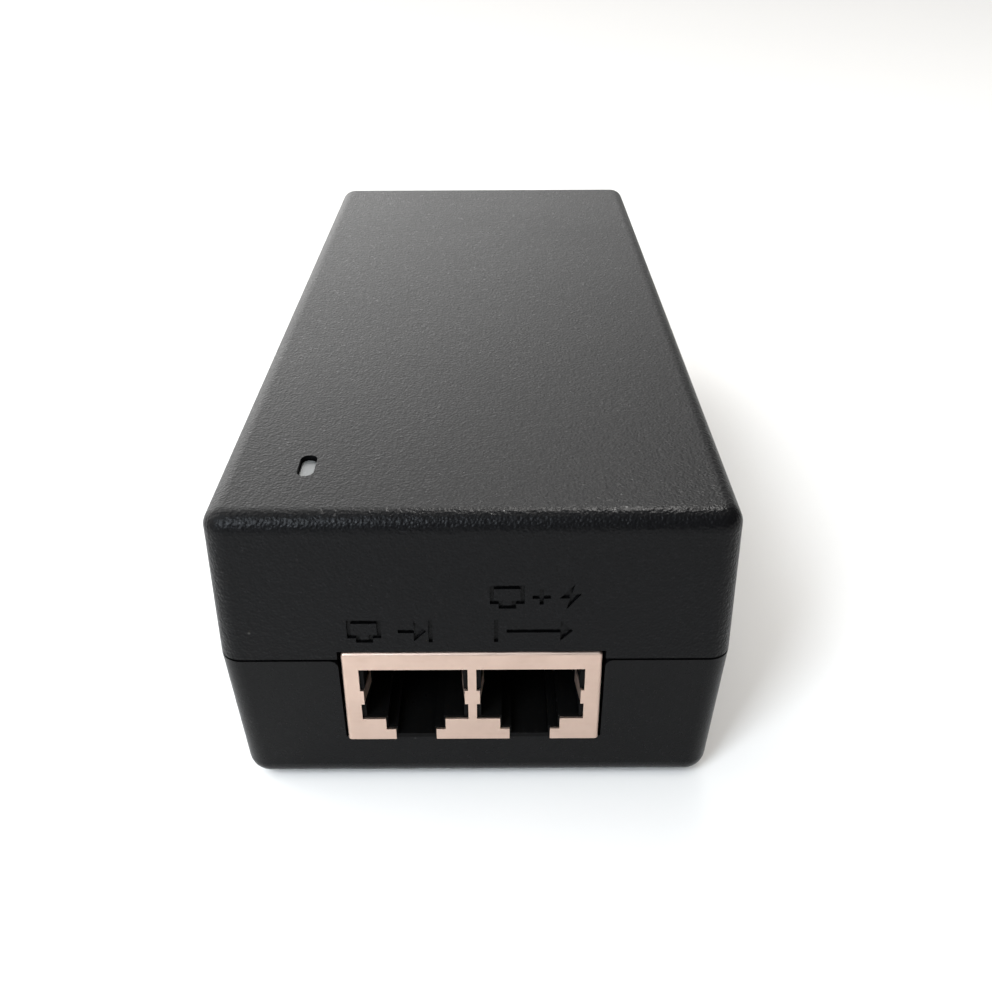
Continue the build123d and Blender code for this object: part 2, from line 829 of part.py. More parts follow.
blade_places = {
    "live": (-pin_spacing / 2, inlet_middle - pin_drop, line_pin_length),
    "neutral": (pin_spacing / 2, inlet_middle - pin_drop, line_pin_length),
    "earth": (0.0, inlet_middle + pin_drop, earth_pin_length),
}
inlet_pins = {}
for name, (x, z, length) in blade_places.items():
    with BuildPart() as pin:
        with Locations((x, recess_back - 0.8, z)):
            Box(
                pin_thickness,
                length + 0.8,
                pin_width,
                align=(Align.CENTER, Align.MIN, Align.CENTER),
            )
        chamfer(pin.faces().sort_by(Axis.Y)[-1].edges(), 0.6)
        reach = 3.6 if name == "earth" else 2.2
        with Locations((x, inlet_back - reach, z)):
            Box(
                tail_thickness,
                recess_back - inlet_back + reach,
                tail_width,
                align=(Align.CENTER, Align.MIN, Align.CENTER),
            )
        add_tails([(x, inlet_back - reach + tail_width / 2)], tail_thickness, tail_width, z + 1)
    inlet_pins[name] = pin.part
    save(pin, f"inlet_{name}_pin")

with BuildPart() as ac_inlet_body:
    add(inlet_body.part)
    for pin_part in inlet_pins.values():
        add(pin_part, mode=Mode.SUBTRACT)
save(ac_inlet_body, "ac_inlet_body")


# ---------------------------------------------------------------- parts on the board
def revolved_can(x, y, radius, height, lead_pitch, lead_radius):
    """An upright electrolytic capacitor: sleeve, crimped neck and stepped top."""
    neck = 1.6
    with BuildPart() as can:
        with BuildSketch(Plane.XZ):
            with BuildLine():
                Polyline(
                    (0, 0),
                    (radius - 0.3, 0),
                    (radius, 0.3),
                    (radius, neck),
                    (radius - 0.45, neck + 0.5),
                    (radius, neck + 1.0),
                    (radius, height - 0.3),
                    (radius - 0.3, height),
                    (radius - 0.9, height),
                    (radius - 0.9, height - 0.25),
                    (0, height - 0.25),
                    close=True,
                )
            make_face()
        revolve(axis=Axis.Z)
    with BuildPart() as capacitor:
        with Locations((x, y, board_top + 0.1)):
            add(can.part)
        add_leads([(x, y - lead_pitch / 2), (x, y + lead_pitch / 2)], lead_radius, board_top + 1)
    return capacitor


def disc(x, y, radius, thickness, lead_pitch):
    """A dipped disc standing on two leads, with its flat sides facing the case's ends."""
    middle = board_top + radius + 1.6
    with BuildPart() as body:
        with Locations(Location((x, y, middle), (90, 0, 0))):
            Cylinder(radius, thickness)
        fillet(body.edges().filter_by(GeomType.CIRCLE), thickness * 0.42)
        add_leads([(x - lead_pitch / 2, y), (x + lead_pitch / 2, y)], 0.3, middle)
    return body


def dual_in_line(x, y, width, length, height, pins_a_side, pin_pitch):
    """A chip in a moulded body with bent flat legs down both long sides, long side along Y."""
    row = width / 2 + 0.9
    places = [(i - (pins_a_side - 1) / 2) * pin_pitch for i in range(pins_a_side)]
    with BuildPart() as chip:
        with Locations((x, y, board_top + 0.5)):
            Box(width, length, height, align=LOW)
        chamfer(chip.edges().filter_by(Axis.Y).group_by(Axis.Z)[-1], 0.4)
        shoulder = board_top + 0.5 + height / 2
        with Locations(*[(x, y + dy, shoulder) for dy in places]):
            Box(2 * row + 0.25, 1.0, 0.25)
        add_tails([(x + s * row, y + dy) for s in (-1, 1) for dy in places], 0.25, 0.5, shoulder)
    return chip


def surface_chip(x, y, width, length, height, pins_a_side, pin_pitch):
    """A surface-mounted package with gull-wing legs down both long sides, long side along Y."""
    places = [(i - (pins_a_side - 1) / 2) * pin_pitch for i in range(pins_a_side)]
    with BuildPart() as chip:
        with Locations((x, y, board_top + 0.1)):
            Box(width, length, height, align=LOW)
        chamfer(chip.edges().filter_by(Axis.Y).group_by(Axis.Z)[-1], 0.3)
        sides = [(s, dy) for s in (-1, 1) for dy in places]
        with Locations(*[(x + s * (width / 2 + 0.3), y + dy, board_top + 1.0) for s, dy in sides]):
            Box(0.7, 0.4, 0.2)
        with Locations(*[(x + s * (width / 2 + 0.6), y + dy, board_top) for s, dy in sides]):
            Box(0.2, 0.4, 1.1, align=LOW)
        with Locations(*[(x + s * (width / 2 + 0.9), y + dy, board_top) for s, dy in sides]):
            Box(0.8, 0.4, 0.2, align=LOW)
    return chip


# Mains side, set out from the inlet.
mains_y = inlet_back - 6.0
fuse_x, fuse_y = -board_half_width + 5.0, mains_y - 12.0
fuse_z = board_top + 5.0
fuse_length, fuse_radius, fuse_bore_radius = 16.0, 2.4, 1.9
cap_radius, cap_length, cap_middle, cap_floor = 2.65, 5.0, 7.6, 8.0
clip_radius, clip_width = 3.05, 4.0

with BuildPart() as fuse_tube:
    with Locations(Location((fuse_x, fuse_y, fuse_z), (90, 0, 0))):
        Cylinder(fuse_radius, fuse_length)
        Cylinder(fuse_bore_radius, fuse_length, mode=Mode.SUBTRACT)
save(fuse_tube, "fuse_tube")

with BuildPart() as fuse_caps:
    for end in (-1, 1):
        with Locations(Location((fuse_x, fuse_y + end * cap_middle, fuse_z), (90, 0, 0))):
            Cylinder(cap_radius, cap_length)
        with Locations(Location((fuse_x, fuse_y + end * (cap_floor - 1.5), fuse_z), (90, 0, 0))):
            Cylinder(fuse_radius, 3.0, mode=Mode.SUBTRACT)
save(fuse_caps, "fuse_caps")

with BuildPart() as fuse_clips:
    for end in (-1, 1):
        with BuildSketch(Plane.XZ.offset(-fuse_y - end * cap_middle - clip_width / 2)):
            with Locations((fuse_x, fuse_z)):
                Circle(clip_radius)
                Circle(cap_radius, mode=Mode.SUBTRACT)
            with Locations((fuse_x, fuse_z + 1.2)):
                Rectangle(7, 4, align=(Align.CENTER, Align.MIN), mode=Mode.SUBTRACT)
            with Locations((fuse_x, board_top + 0.2)):
                Rectangle(
                    5.0, fuse_z - clip_radius - board_top, align=(Align.CENTER, Align.MIN)
                )
        extrude(amount=clip_width)
    add_leads([(fuse_x, fuse_y + end * cap_middle) for end in (-1, 1)], 0.6, board_top + 0.5)
save(fuse_clips, "fuse_clips")

varistor = disc(board_half_width - 9.0, mains_y - 4.0, 5.0, 3.6, 7.5)
save(varistor, "varistor")

x_cap_y = mains_y - 4.5
with BuildPart() as x_capacitor:
    with Locations((0, x_cap_y, board_top)):
        Box(18.0, 7.0, 14.5, align=LOW)
    fillet(x_capacitor.faces().sort_by(Axis.Z)[-1].edges(), 0.5)
    add_leads([(-7.5, x_cap_y), (7.5, x_cap_y)], 0.4, board_top + 0.5)
save(x_capacitor, "x_capacitor")

choke_y = x_cap_y - 14.5
choke_radius, choke_hole, choke_width = 8.5, 4.6, 7.0
choke_axis = Location((0, choke_y, board_top + 13.2), (90, 0, 0))
with BuildPart() as mains_choke_core:
    with Locations(choke_axis):
        Cylinder(choke_radius, choke_width)
        Cylinder(choke_hole, choke_width, mode=Mode.SUBTRACT)
    fillet(mains_choke_core.edges().filter_by(GeomType.CIRCLE), 0.6)
save(mains_choke_core, "mains_choke_core")

with BuildPart() as mains_choke_windings:
    wire = 1.0
    with Locations(choke_axis):
        Cylinder(choke_radius + wire, choke_width + 2 * wire)
        Cylinder(choke_hole - wire, choke_width + 3 * wire, mode=Mode.SUBTRACT)
    fillet(mains_choke_windings.edges().filter_by(GeomType.CIRCLE), 0.8)
    with Locations(choke_axis):
        Box(4.2, 40, 40, mode=Mode.SUBTRACT)
    add(mains_choke_core.part, mode=Mode.SUBTRACT)
save(mains_choke_windings, "mains_choke_windings")

with BuildPart() as mains_choke_base:
    with Locations((0, choke_y, board_top)):
        Box(19.0, 11.0, 5.0, align=LOW)
    with Locations(choke_axis):
        Cylinder(choke_radius + wire + 0.1, 14, mode=Mode.SUBTRACT)
    pin_places = [(x, choke_y + y) for x in (-7.5, 7.5) for y in (-4.0, 4.0)]
    add_leads(pin_places, 0.4, board_top + 1)
save(mains_choke_base, "mains_choke_base")

bulk_capacitor = revolved_can(-board_half_width + 9.6, 10.5, 8.0, 25.0, 7.5, 0.4)
save(bulk_capacitor, "bulk_capacitor")

rectifier_x, rectifier_y = board_half_width - 4.0, mains_y - 20.0
with BuildPart() as bridge_rectifier:
    with Locations((rectifier_x, rectifier_y, board_top + 2.0)):
        Box(3.6, 14.6, 10.5, align=LOW)
    corner = bridge_rectifier.edges().filter_by(Axis.X).group_by(Axis.Z)[-1].sort_by(Axis.Y)[-1]
    chamfer(corner, 2.6)
    legs = [(rectifier_x, rectifier_y + (i - 1.5) * 3.8) for i in range(4)]
    add_leads(legs, 0.4, board_top + 3)
save(bridge_rectifier, "bridge_rectifier")

# Transformer in the middle of the board.
core_width, core_height, core_thickness = 25.4, 20.0, 7.2
leg_width, window_reach, window_height = 7.0, 5.9, 13.0
rail_height = 4.0
core_z = board_top + rail_height + core_height / 2
transformer_y = -8.0
with BuildPart() as transformer_core:
    with BuildSketch(Plane.XZ.offset(-transformer_y - core_thickness / 2)):
        with Locations((0, core_z)):
            Rectangle(core_width, core_height)
        reach = (leg_width + window_reach) / 2
        with Locations((-reach, core_z), (reach, core_z)):
            Rectangle(window_reach, window_height, mode=Mode.SUBTRACT)
    extrude(amount=core_thickness)
save(transformer_core, "transformer_core")

tube_wall, tube_gap, cheek = 0.8, 0.1, 0.8
tube_x = leg_width + 2 * tube_gap
tube_y = core_thickness + 2 * tube_gap
winding_x = leg_width + 2 * window_reach - 1.4
winding_y = core_thickness + winding_x - leg_width
with BuildPart() as transformer_bobbin:
    with Locations((0, transformer_y, core_z)):
        Box(tube_x + 2 * tube_wall, tube_y + 2 * tube_wall, window_height - 2 * tube_gap)
    cheek_z = window_height / 2 - tube_gap - cheek / 2
    with Locations(*[(0, transformer_y, core_z + side * cheek_z) for side in (-1, 1)]):
        Box(winding_x + 0.8, winding_y + 0.8, cheek)
    # Rails that carry the pins, joined to the lower cheek beside the core.
    rail_y = core_thickness / 2 + 3.2
    low_cheek = core_z - window_height / 2 + tube_gap
    with Locations(*[(0, transformer_y + side * rail_y, board_top) for side in (-1, 1)]):
        Box(22.0, 4.4, low_cheek - board_top + 0.2, align=LOW)
    with Locations((0, transformer_y, core_z)):
        Box(tube_x, tube_y, window_height, mode=Mode.SUBTRACT)
    pins = [
        (x, transformer_y + side * rail_y) for side in (-1, 1) for x in (-8, -4, 0, 4, 8)
    ]
    add_leads(pins, 0.35, board_top + 1)
save(transformer_bobbin, "transformer_bobbin")

with BuildPart() as transformer_winding:
    height = window_height - 2 * tube_gap - 2 * cheek
    with BuildSketch(Plane.XY.offset(core_z - height / 2)):
        with Locations((0, transformer_y)):
            RectangleRounded(winding_x, winding_y, 2.2)
            Rectangle(tube_x + 2 * tube_wall, tube_y + 2 * tube_wall, mode=Mode.SUBTRACT)
    extrude(amount=height)
save(transformer_winding, "transformer_winding")

# Heatsinks along the sides, with a power part clamped to each.
sink_thickness, sink_length, sink_lift, sink_gap = 2.0, 26.0, 0.4, 0.7
sink_bottom = board_top + sink_lift
sink_height = roof_z - roof_rib_height - sink_gap - sink_thickness - sink_bottom
pad_thickness = 0.3
power_parts = {
    "primary_heatsink": ("switching_transistor", -1, -16.0),
    "secondary_heatsink": ("output_rectifier", 1, -24.0),
}
sink_screws = []
pads = []
for sink_name, (part_name, side, y) in power_parts.items():
    outer_face = side * (board_half_width - 2.2)
    inner_face = outer_face - side * sink_thickness
    with BuildPart() as heatsink:
        with Locations(((outer_face + inner_face) / 2, y, sink_bottom)):
            Box(sink_thickness, sink_length, sink_height, align=LOW)
        with Locations((outer_face - side * 3.5, y, sink_bottom + sink_height)):
            Box(7.0, sink_length, sink_thickness, align=LOW)
        hole_z = board_top + 18.0
        with Locations(Location((outer_face, y, hole_z), (0, 90, 0))):
            Cylinder(1.6, 3 * sink_thickness, mode=Mode.SUBTRACT)
        add_leads([((outer_face + inner_face) / 2, y + dy) for dy in (-9, 9)], 0.8, board_top + 1)
    save(heatsink, sink_name)
    pads.append((inner_face - side * pad_thickness / 2, y, hole_z))

    tab_face = inner_face - side * pad_thickness
    with BuildPart() as power_part:
        with Locations((tab_face - side * 0.65, y, hole_z - 3.0)):
            Box(1.3, 10.0, 13.0)
        with Locations((tab_face - side * 2.25, y, hole_z - 7.4)):
            Box(4.5, 10.0, 9.0)
        with Locations(Location((tab_face, y, hole_z), (0, 90, 0))):
            Cylinder(1.8, 6, mode=Mode.SUBTRACT)
        legs_x = tab_face - side * 2.6
        add_tails([(legs_x, y + dy) for dy in (-2.54, 0, 2.54)], 0.5, 0.8, hole_z - 11.0)
    save(power_part, part_name)
    sink_screws.append((tab_face - side * 1.3, outer_face, y, hole_z, side))

with BuildPart() as thermal_pads:
    for x, y, z in pads:
        with Locations((x, y, z - 3.0)):
            Box(pad_thickness, 11.5, 15.0)
        with Locations(Location((x, y, z), (0, 90, 0))):
            Cylinder(1.7, 2, mode=Mode.SUBTRACT)
save(thermal_pads, "thermal_pads")

with BuildPart() as heatsink_screws:
    for head_face, outer_face, y, z, side in sink_screws:
        shank = abs(outer_face - head_face)
        with Locations(Location(((head_face + outer_face) / 2, y, z), (0, 90, 0))):
            Cylinder(1.5, shank)
        with Locations(Location((head_face - side * 1.0, y, z), (0, 90, 0))):
            Cylinder(2.7, 2.0)
        with Locations((head_face - side * 2.0, y, z)):
            Box(1.6, 3.0, 0.7, mode=Mode.SUBTRACT)
            Box(1.6, 0.7, 3.0, mode=Mode.SUBTRACT)
save(heatsink_screws, "heatsink_screws")

# Small parts, set out from the transformer and from the jack.
low_y = transformer_y - 17.0
small_y = jack_back + 5.8
save(disc(11.5, transformer_y + 13.0, 4.0, 3.2, 7.5), "y_capacitor")
save(dual_in_line(0.0, low_y + 1.6, 6.4, 4.8, 3.4, 2, 2.54), "optocoupler")
save(dual_in_line(-11.5, low_y + 2.4, 6.4, 9.4, 3.4, 4, 2.54), "pwm_controller")
save(surface_chip(-0.7, small_y, 7.5, 9.8, 2.4, 7, 1.27), "poe_controller")

with BuildPart() as lan_magnetics:
    modules = [
        surface_chip(-11.4, small_y, 8.0, 10.0, 5.6, 8, 1.2),
        surface_chip(10.1, small_y, 8.0, 10.0, 5.6, 8, 1.2),
    ]
    for module in modules:
        add(module.part)
save(lan_magnetics, "lan_magnetics")

with BuildPart() as output_capacitors:
    cans = [
        revolved_can(x, low_y - 7.0, 5.0, 18.0, 5.0, 0.3) for x in (-3.0, 8.0)
    ]
    for can in cans:
        add(can.part)
save(output_capacitors, "output_capacitors")

inductor_x, inductor_y = -14.5, low_y - 7.5
with BuildPart() as output_inductor_core:
    with BuildSketch(Plane.XZ):
        with BuildLine():
            Polyline(
                (0, 0), (5, 0), (5, 1.4), (2.4, 1.4), (2.4, 9.6), (5, 9.6), (5, 11), (0, 11),
                close=True,
            )
        make_face()
    revolve(axis=Axis.Z)
with BuildPart() as output_inductor:
    with Locations((inductor_x, inductor_y, board_top + 0.2)):
        add(output_inductor_core.part)
    add_leads([(inductor_x, inductor_y + dy) for dy in (-2.5, 2.5)], 0.3, board_top + 1)
save(output_inductor, "output_inductor_core")

with BuildPart() as output_inductor_winding:
    with Locations((inductor_x, inductor_y, board_top + 1.7)):
        Cylinder(4.4, 8.0, align=LOW)
        Cylinder(2.4, 8.0, align=LOW, mode=Mode.SUBTRACT)
save(output_inductor_winding, "output_inductor_winding")

with BuildPart() as power_resistors:
    for i in range(3):
        x, y = -3.2 + 3.2 * i, choke_y - 11.2
        with Locations(Location((x, y, board_top + 1.6), (90, 0, 0))):
            Cylinder(1.1, 6.3)
        with Locations(
            Location((x, y - 2.6, board_top + 1.6), (90, 0, 0)),
            Location((x, y + 2.6, board_top + 1.6), (90, 0, 0)),
        ):
            Cylinder(1.3, 1.5)
        with Locations(Location((x, y, board_top + 1.6), (90, 0, 0))):
            Cylinder(0.3, 10.0)
        add_leads([(x, y - 5.0), (x, y + 5.0)], 0.3, board_top + 1.6)
save(power_resistors, "power_resistors")

with BuildPart() as snubber_diode:
    x, y = board_half_width - 8.4, 12.0
    with Locations(Location((x, y, board_top + 1.8), (90, 0, 0))):
        Cylinder(1.35, 5.2)
        Cylinder(0.35, 10.0)
    add_leads([(x, y - 5.0), (x, y + 5.0)], 0.35, board_top + 1.8)
save(snubber_diode, "snubber_diode")

with BuildPart() as board_screws:
    with Locations(*[(x, y, board_top) for x, y in board_screw_places]):
        Cylinder(board_screw_head, 1.6, align=LOW)
        Cylinder(board_screw_radius, board_thickness + board_screw_length - 1.5, align=HIGH)
    fillet(board_screws.faces().filter_by(Axis.Z).group_by(Axis.Z)[-1].edges(), 0.5)
    with Locations(*[(x, y, board_top + 1.6) for x, y in board_screw_places]):
        Box(3.0, 0.7, 1.6, mode=Mode.SUBTRACT)
        Box(0.7, 3.0, 1.6, mode=Mode.SUBTRACT)
save(board_screws, "board_screws")

with BuildPart() as main_board:
    with BuildSketch(Plane.XY.offset(board_underside)):
        RectangleRounded(2 * board_half_width, 2 * board_half_length, 1.2)
        with Locations(*screw_places):
            Circle(boss_radius + notch_clearance, mode=Mode.SUBTRACT)
        for x, y in screw_places:
            with Locations((x + (1 if x > 0 else -1) * boss_radius, y)):
                Rectangle(
                    2 * boss_radius, 2 * (boss_radius + notch_clearance), mode=Mode.SUBTRACT
                )
        with Locations(*board_screw_places):
            Circle(board_screw_radius + screw_clearance, mode=Mode.SUBTRACT)
        for x, y, radius in lead_holes:
            with Locations((x, y)):
                Circle(radius, mode=Mode.SUBTRACT)
        for x, y, width, length in board_slots:
            with Locations((x, y)):
                Rectangle(width, length, mode=Mode.SUBTRACT)
    extrude(amount=board_thickness)
save(main_board, "main_board")
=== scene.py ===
"""Looks for a desktop power-over-Ethernet injector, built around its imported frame.

Every length is in metres. The network ports face -Y, the mains inlet faces +Y and +Z is up.
"""

import math

import bmesh
import bpy
from bpy.props import FloatProperty, FloatVectorProperty, IntProperty
from mathutils import Matrix, Vector


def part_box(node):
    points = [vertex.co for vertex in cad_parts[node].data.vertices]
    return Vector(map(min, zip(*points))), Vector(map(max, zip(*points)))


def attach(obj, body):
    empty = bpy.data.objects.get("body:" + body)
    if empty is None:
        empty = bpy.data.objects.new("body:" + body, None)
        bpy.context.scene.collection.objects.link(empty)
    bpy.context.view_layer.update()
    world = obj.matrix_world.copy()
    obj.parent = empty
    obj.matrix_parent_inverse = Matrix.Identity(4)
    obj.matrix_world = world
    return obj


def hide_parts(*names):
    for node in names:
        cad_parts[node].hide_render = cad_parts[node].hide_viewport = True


bl_info = {
    "name": "PoE Injector Looks",
    "version": (1, 0, 0),
    "blender": (4, 5, 0),
    "location": "View3D > Sidebar > Injector",
    "description": "Gives a packed PoE injector its plastics, metals, windings, solder and studio",
    "category": "Object",
}

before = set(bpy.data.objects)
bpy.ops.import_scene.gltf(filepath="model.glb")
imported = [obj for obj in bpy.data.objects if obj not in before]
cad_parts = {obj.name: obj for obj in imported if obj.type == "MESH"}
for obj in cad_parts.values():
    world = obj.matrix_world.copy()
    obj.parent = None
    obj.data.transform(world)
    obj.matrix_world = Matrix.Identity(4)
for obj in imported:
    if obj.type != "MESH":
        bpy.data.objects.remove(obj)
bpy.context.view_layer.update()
BODY = "injector"
MM = 0.001
MICRON = 0.001 * MM
QUARTER_TURN = math.pi / 2


def low(node):
    """Lowest corner of a CAD node."""
    return Vector(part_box(node)[0])


def high(node):
    """Highest corner of a CAD node."""
    return Vector(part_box(node)[1])


def middle(node):
    """Middle of a CAD node's box."""
    return (low(node) + high(node)) / 2


# ---------------------------------------------------------------- what a user may change
class InjectorPlastic(bpy.types.PropertyGroup):
    """Colours and surface of the moulded case."""

    top_colour: FloatVectorProperty(
        name="Top cover", description="Colour of the top cover's plastic",
        subtype="COLOR", size=4, min=0, max=1, default=(0.0024, 0.0024, 0.0027, 1),
    )
    bottom_colour: FloatVectorProperty(
        name="Bottom cover", description="Colour of the bottom cover's plastic",
        subtype="COLOR", size=4, min=0, max=1, default=(0.0028, 0.0028, 0.0030, 1),
    )
    grain_size: FloatProperty(
        name="Grain size", description="Width of one pit in the moulded grain",
        unit="LENGTH", min=0.0001, max=0.002, default=0.00034,
    )
    grain_depth: FloatProperty(
        name="Grain depth", description="Depth of the moulded grain",
        unit="LENGTH", min=0, max=0.0003, default=0.0001,
    )
    roughness: FloatProperty(
        name="Roughness", description="Roughness between the pits",
        subtype="FACTOR", min=0, max=1, default=0.36,
    )
    dust: FloatProperty(
        name="Dust", description="How much dust lies on faces that look up",
        subtype="FACTOR", min=0, max=1, default=0.16,
    )


class InjectorMetal(bpy.types.PropertyGroup):
    """Colours of the plated and wound parts."""

    shield_colour: FloatVectorProperty(
        name="Jack shield", description="Colour of the plating round the network ports",
        subtype="COLOR", size=4, min=0, max=1, default=(0.595, 0.452, 0.378, 1),
    )
    wire_colour: FloatVectorProperty(
        name="Enamelled wire", description="Colour of the enamelled copper wire",
        subtype="COLOR", size=4, min=0, max=1, default=(0.55, 0.19, 0.05, 1),
    )
    wire_radius: FloatProperty(
        name="Choke wire radius", description="Radius of the wire on the mains choke",
        unit="LENGTH", min=0.0002, max=0.0006, default=0.00042,
    )
    choke_turns: IntProperty(
        name="Choke turns", description="Turns in each of the mains choke's two windings",
        min=4, max=24, default=14,
    )
    inductor_turns: IntProperty(
        name="Inductor turns", description="Turns in a layer of the output inductor",
        min=4, max=24, default=11,
    )


class InjectorStudio(bpy.types.PropertyGroup):
    """Floor, lights and camera."""

    floor_colour: FloatVectorProperty(
        name="Floor", description="Colour of the floor",
        subtype="COLOR", size=4, min=0, max=1, default=(0.74, 0.735, 0.725, 1),
    )
    sky: FloatProperty(
        name="Sky", description="Brightness of the room all round", min=0, max=5, default=0.15,
    )
    glow: FloatProperty(
        name="Glow", description="Extra brightness of the room behind and to the left",
        min=0, max=9, default=4.8,
    )
    glow_way: FloatVectorProperty(
        name="Glow direction", description="Where the room is brightest", subtype="DIRECTION",
        size=3, default=(-0.6, 0.66, 0.42),
    )
    window: FloatProperty(
        name="Window", description="Power of the tall soft light on the left", unit="POWER",
        min=0, max=100, default=2.8,
    )
    ceiling: FloatProperty(
        name="Ceiling", description="Power of the small light overhead", unit="POWER",
        min=0, max=100, default=4.0,
    )
    fill: FloatProperty(
        name="Fill", description="Power of the broad light in front, which leaves no reflection",
        unit="POWER", min=0, max=100, default=7.0,
    )
    lens: FloatProperty(
        name="Lens", description="Focal length in millimetres on a 36 mm sensor",
        min=10, max=200, default=37.73,
    )
    eye: FloatVectorProperty(
        name="Eye", description="Where the camera stands", subtype="TRANSLATION",
        size=3, default=(0.00256, -0.16103, 0.10103),
    )
    tilt: FloatProperty(
        name="Tilt", description="Angle that the camera looks down", subtype="ANGLE",
        default=math.radians(31.4),
    )
    roll: FloatProperty(
        name="Roll", description="Turn of the camera about its own line of sight", subtype="ANGLE",
        default=math.radians(-0.267),
    )


# ---------------------------------------------------------------- node helpers
def put(tree, kind, _own=None, **inputs):
    """A new node with its own settings and its inputs filled or linked."""
    node = tree.nodes.new(kind)
    for name, value in (_own or {}).items():
        setattr(node, name, value)
    for name, value in inputs.items():
        socket = node.inputs[name.replace("_", " ")]
        if isinstance(value, bpy.types.NodeSocket):
            tree.links.new(value, socket)
        else:
            socket.default_value = value
    return node


def feed(tree, socket, value):
    """Links a value into a socket, or writes it there."""
    if isinstance(value, bpy.types.NodeSocket):
        tree.links.new(value, socket)
    else:
        socket.default_value = value


def sums(tree, operation, first, second=0.0):
    """The result of one Math node."""
    node = tree.nodes.new("ShaderNodeMath")
    node.operation = operation
    feed(tree, node.inputs[0], first)
    feed(tree, node.inputs[1], second)
    return node.outputs[0]


def remap(tree, value, start, end, to_start=0.0, to_end=1.0):
    """The value stretched from one range to another, and held inside it."""
    node = put(
        tree, "ShaderNodeMapRange", Value=value,
        From_Min=start, From_Max=end, To_Min=to_start, To_Max=to_end,
    )
    return node.outputs["Result"]


def blend_colour(tree, factor, first, second):
    """Two colours mixed by a factor."""
    node = tree.nodes.new("ShaderNodeMix")
    node.data_type = "RGBA"
    # A Mix node has a socket A, B and Result for each kind of data; these are the colour ones.
    colour_a, colour_b, colour_result = 6, 7, 2
    feed(tree, node.inputs["Factor"], factor)
    feed(tree, node.inputs[colour_a], first)
    feed(tree, node.inputs[colour_b], second)
    return node.outputs[colour_result]


def noise(tree, vector, scale, detail=3.0, roughness=0.5):
    """A noise value at so many cells a metre."""
    node = put(
        tree, "ShaderNodeTexNoise", Vector=vector, Scale=scale, Detail=detail, Roughness=roughness
    )
    return node.outputs[0]


def object_place(tree):
    """A point's place in the injector's own frame, in metres."""
    return tree.nodes.new("ShaderNodeTexCoord").outputs["Object"]


def axes_of(tree, vector):
    """The three parts of a vector."""
    return put(tree, "ShaderNodeSeparateXYZ", Vector=vector).outputs


def new_group(name, inputs, outputs):
    """An empty shader group with named sockets, and its entry and exit nodes."""
    group = bpy.data.node_groups.new(name, "ShaderNodeTree")
    for label, kind, default in inputs:
        socket = group.interface.new_socket(label, in_out="INPUT", socket_type="NodeSocket" + kind)
        if default is not None:
            socket.default_value = default
    for label, kind in outputs:
        group.interface.new_socket(label, in_out="OUTPUT", socket_type="NodeSocket" + kind)
    entry, leaving = group.nodes.new("NodeGroupInput"), group.nodes.new("NodeGroupOutput")
    return group, entry.outputs, leaving.inputs


def use(tree, group_name, **inputs):
    """One of the shared groups placed in a material; returns its outputs."""
    node = tree.nodes.new("ShaderNodeGroup")
    node.node_tree = bpy.data.node_groups[group_name]
    for name, value in inputs.items():
        feed(tree, node.inputs[name.replace("_", " ")], value)
    return node.outputs


# ---------------------------------------------------------------- shared shader groups
def build_grain_group():
    """Spark-eroded grain: pits over a wider roughness, bright specks and broad gloss clouds."""
    group, given, wanted = new_group(
        "Moulded grain",
        [("Vector", "Vector", None), ("Cells", "Float", 2400.0)],
        [("Height", "Float"), ("Glint", "Float"), ("Cloud", "Float")],
    )
    # Cells of the wider roughness, the specks and the clouds for each cell of the pits.
    rough_cells, speck_cells, cloud_cells = (
        sums(group, "MULTIPLY", given["Cells"], share) for share in (0.45, 0.8, 0.012)
    )
    pits_weight, rough_weight = 0.6, 0.8
    pits = put(
        group, "ShaderNodeTexVoronoi", {"feature": "SMOOTH_F1"},
        Vector=given["Vector"], Scale=given["Cells"], Smoothness=0.6,
    ).outputs["Distance"]
    rough = noise(group, given["Vector"], rough_cells, detail=4.0, roughness=0.6)
    height = sums(
        group, "ADD",
        sums(group, "MULTIPLY", pits, pits_weight), sums(group, "MULTIPLY", rough, rough_weight),
    )
    speck = noise(group, given["Vector"], speck_cells, detail=1.0)
    cloud = noise(group, given["Vector"], cloud_cells, detail=3.0, roughness=0.55)
    group.links.new(height, wanted["Height"])
    group.links.new(remap(group, speck, 0.60, 0.74), wanted["Glint"])
    group.links.new(cloud, wanted["Cloud"])


def build_dust_group():
    """Fine dust: sparse specks everywhere and a thin film on faces that look up."""
    group, given, wanted = new_group(
        "Settled dust",
        [("Vector", "Vector", None), ("Amount", "Float", 0.3)],
        [("Specks", "Float"), ("Film", "Float")],
    )
    speck_cells, patch_cells, haze_cells = 420.0, 130.0, 55.0
    facing = axes_of(group, group.nodes.new("ShaderNodeNewGeometry").outputs["Normal"])["Z"]
    up = remap(group, facing, 0.3, 0.95)
    dots = put(
        group, "ShaderNodeTexVoronoi", {"feature": "F1"}, Vector=given["Vector"], Scale=speck_cells
    ).outputs["Distance"]
    dot = remap(group, dots, 0.085, 0.04)
    patch = remap(group, noise(group, given["Vector"], patch_cells, detail=2.0), 0.58, 0.75)
    specks = sums(group, "MULTIPLY", sums(group, "MULTIPLY", dot, patch), given["Amount"])
    haze = noise(group, given["Vector"], haze_cells, detail=5.0, roughness=0.65)
    haze = remap(group, haze, 0.35, 0.75)
    film = sums(group, "MULTIPLY", sums(group, "MULTIPLY", haze, up), given["Amount"])
    group.links.new(specks, wanted["Specks"])
    group.links.new(film, wanted["Film"])


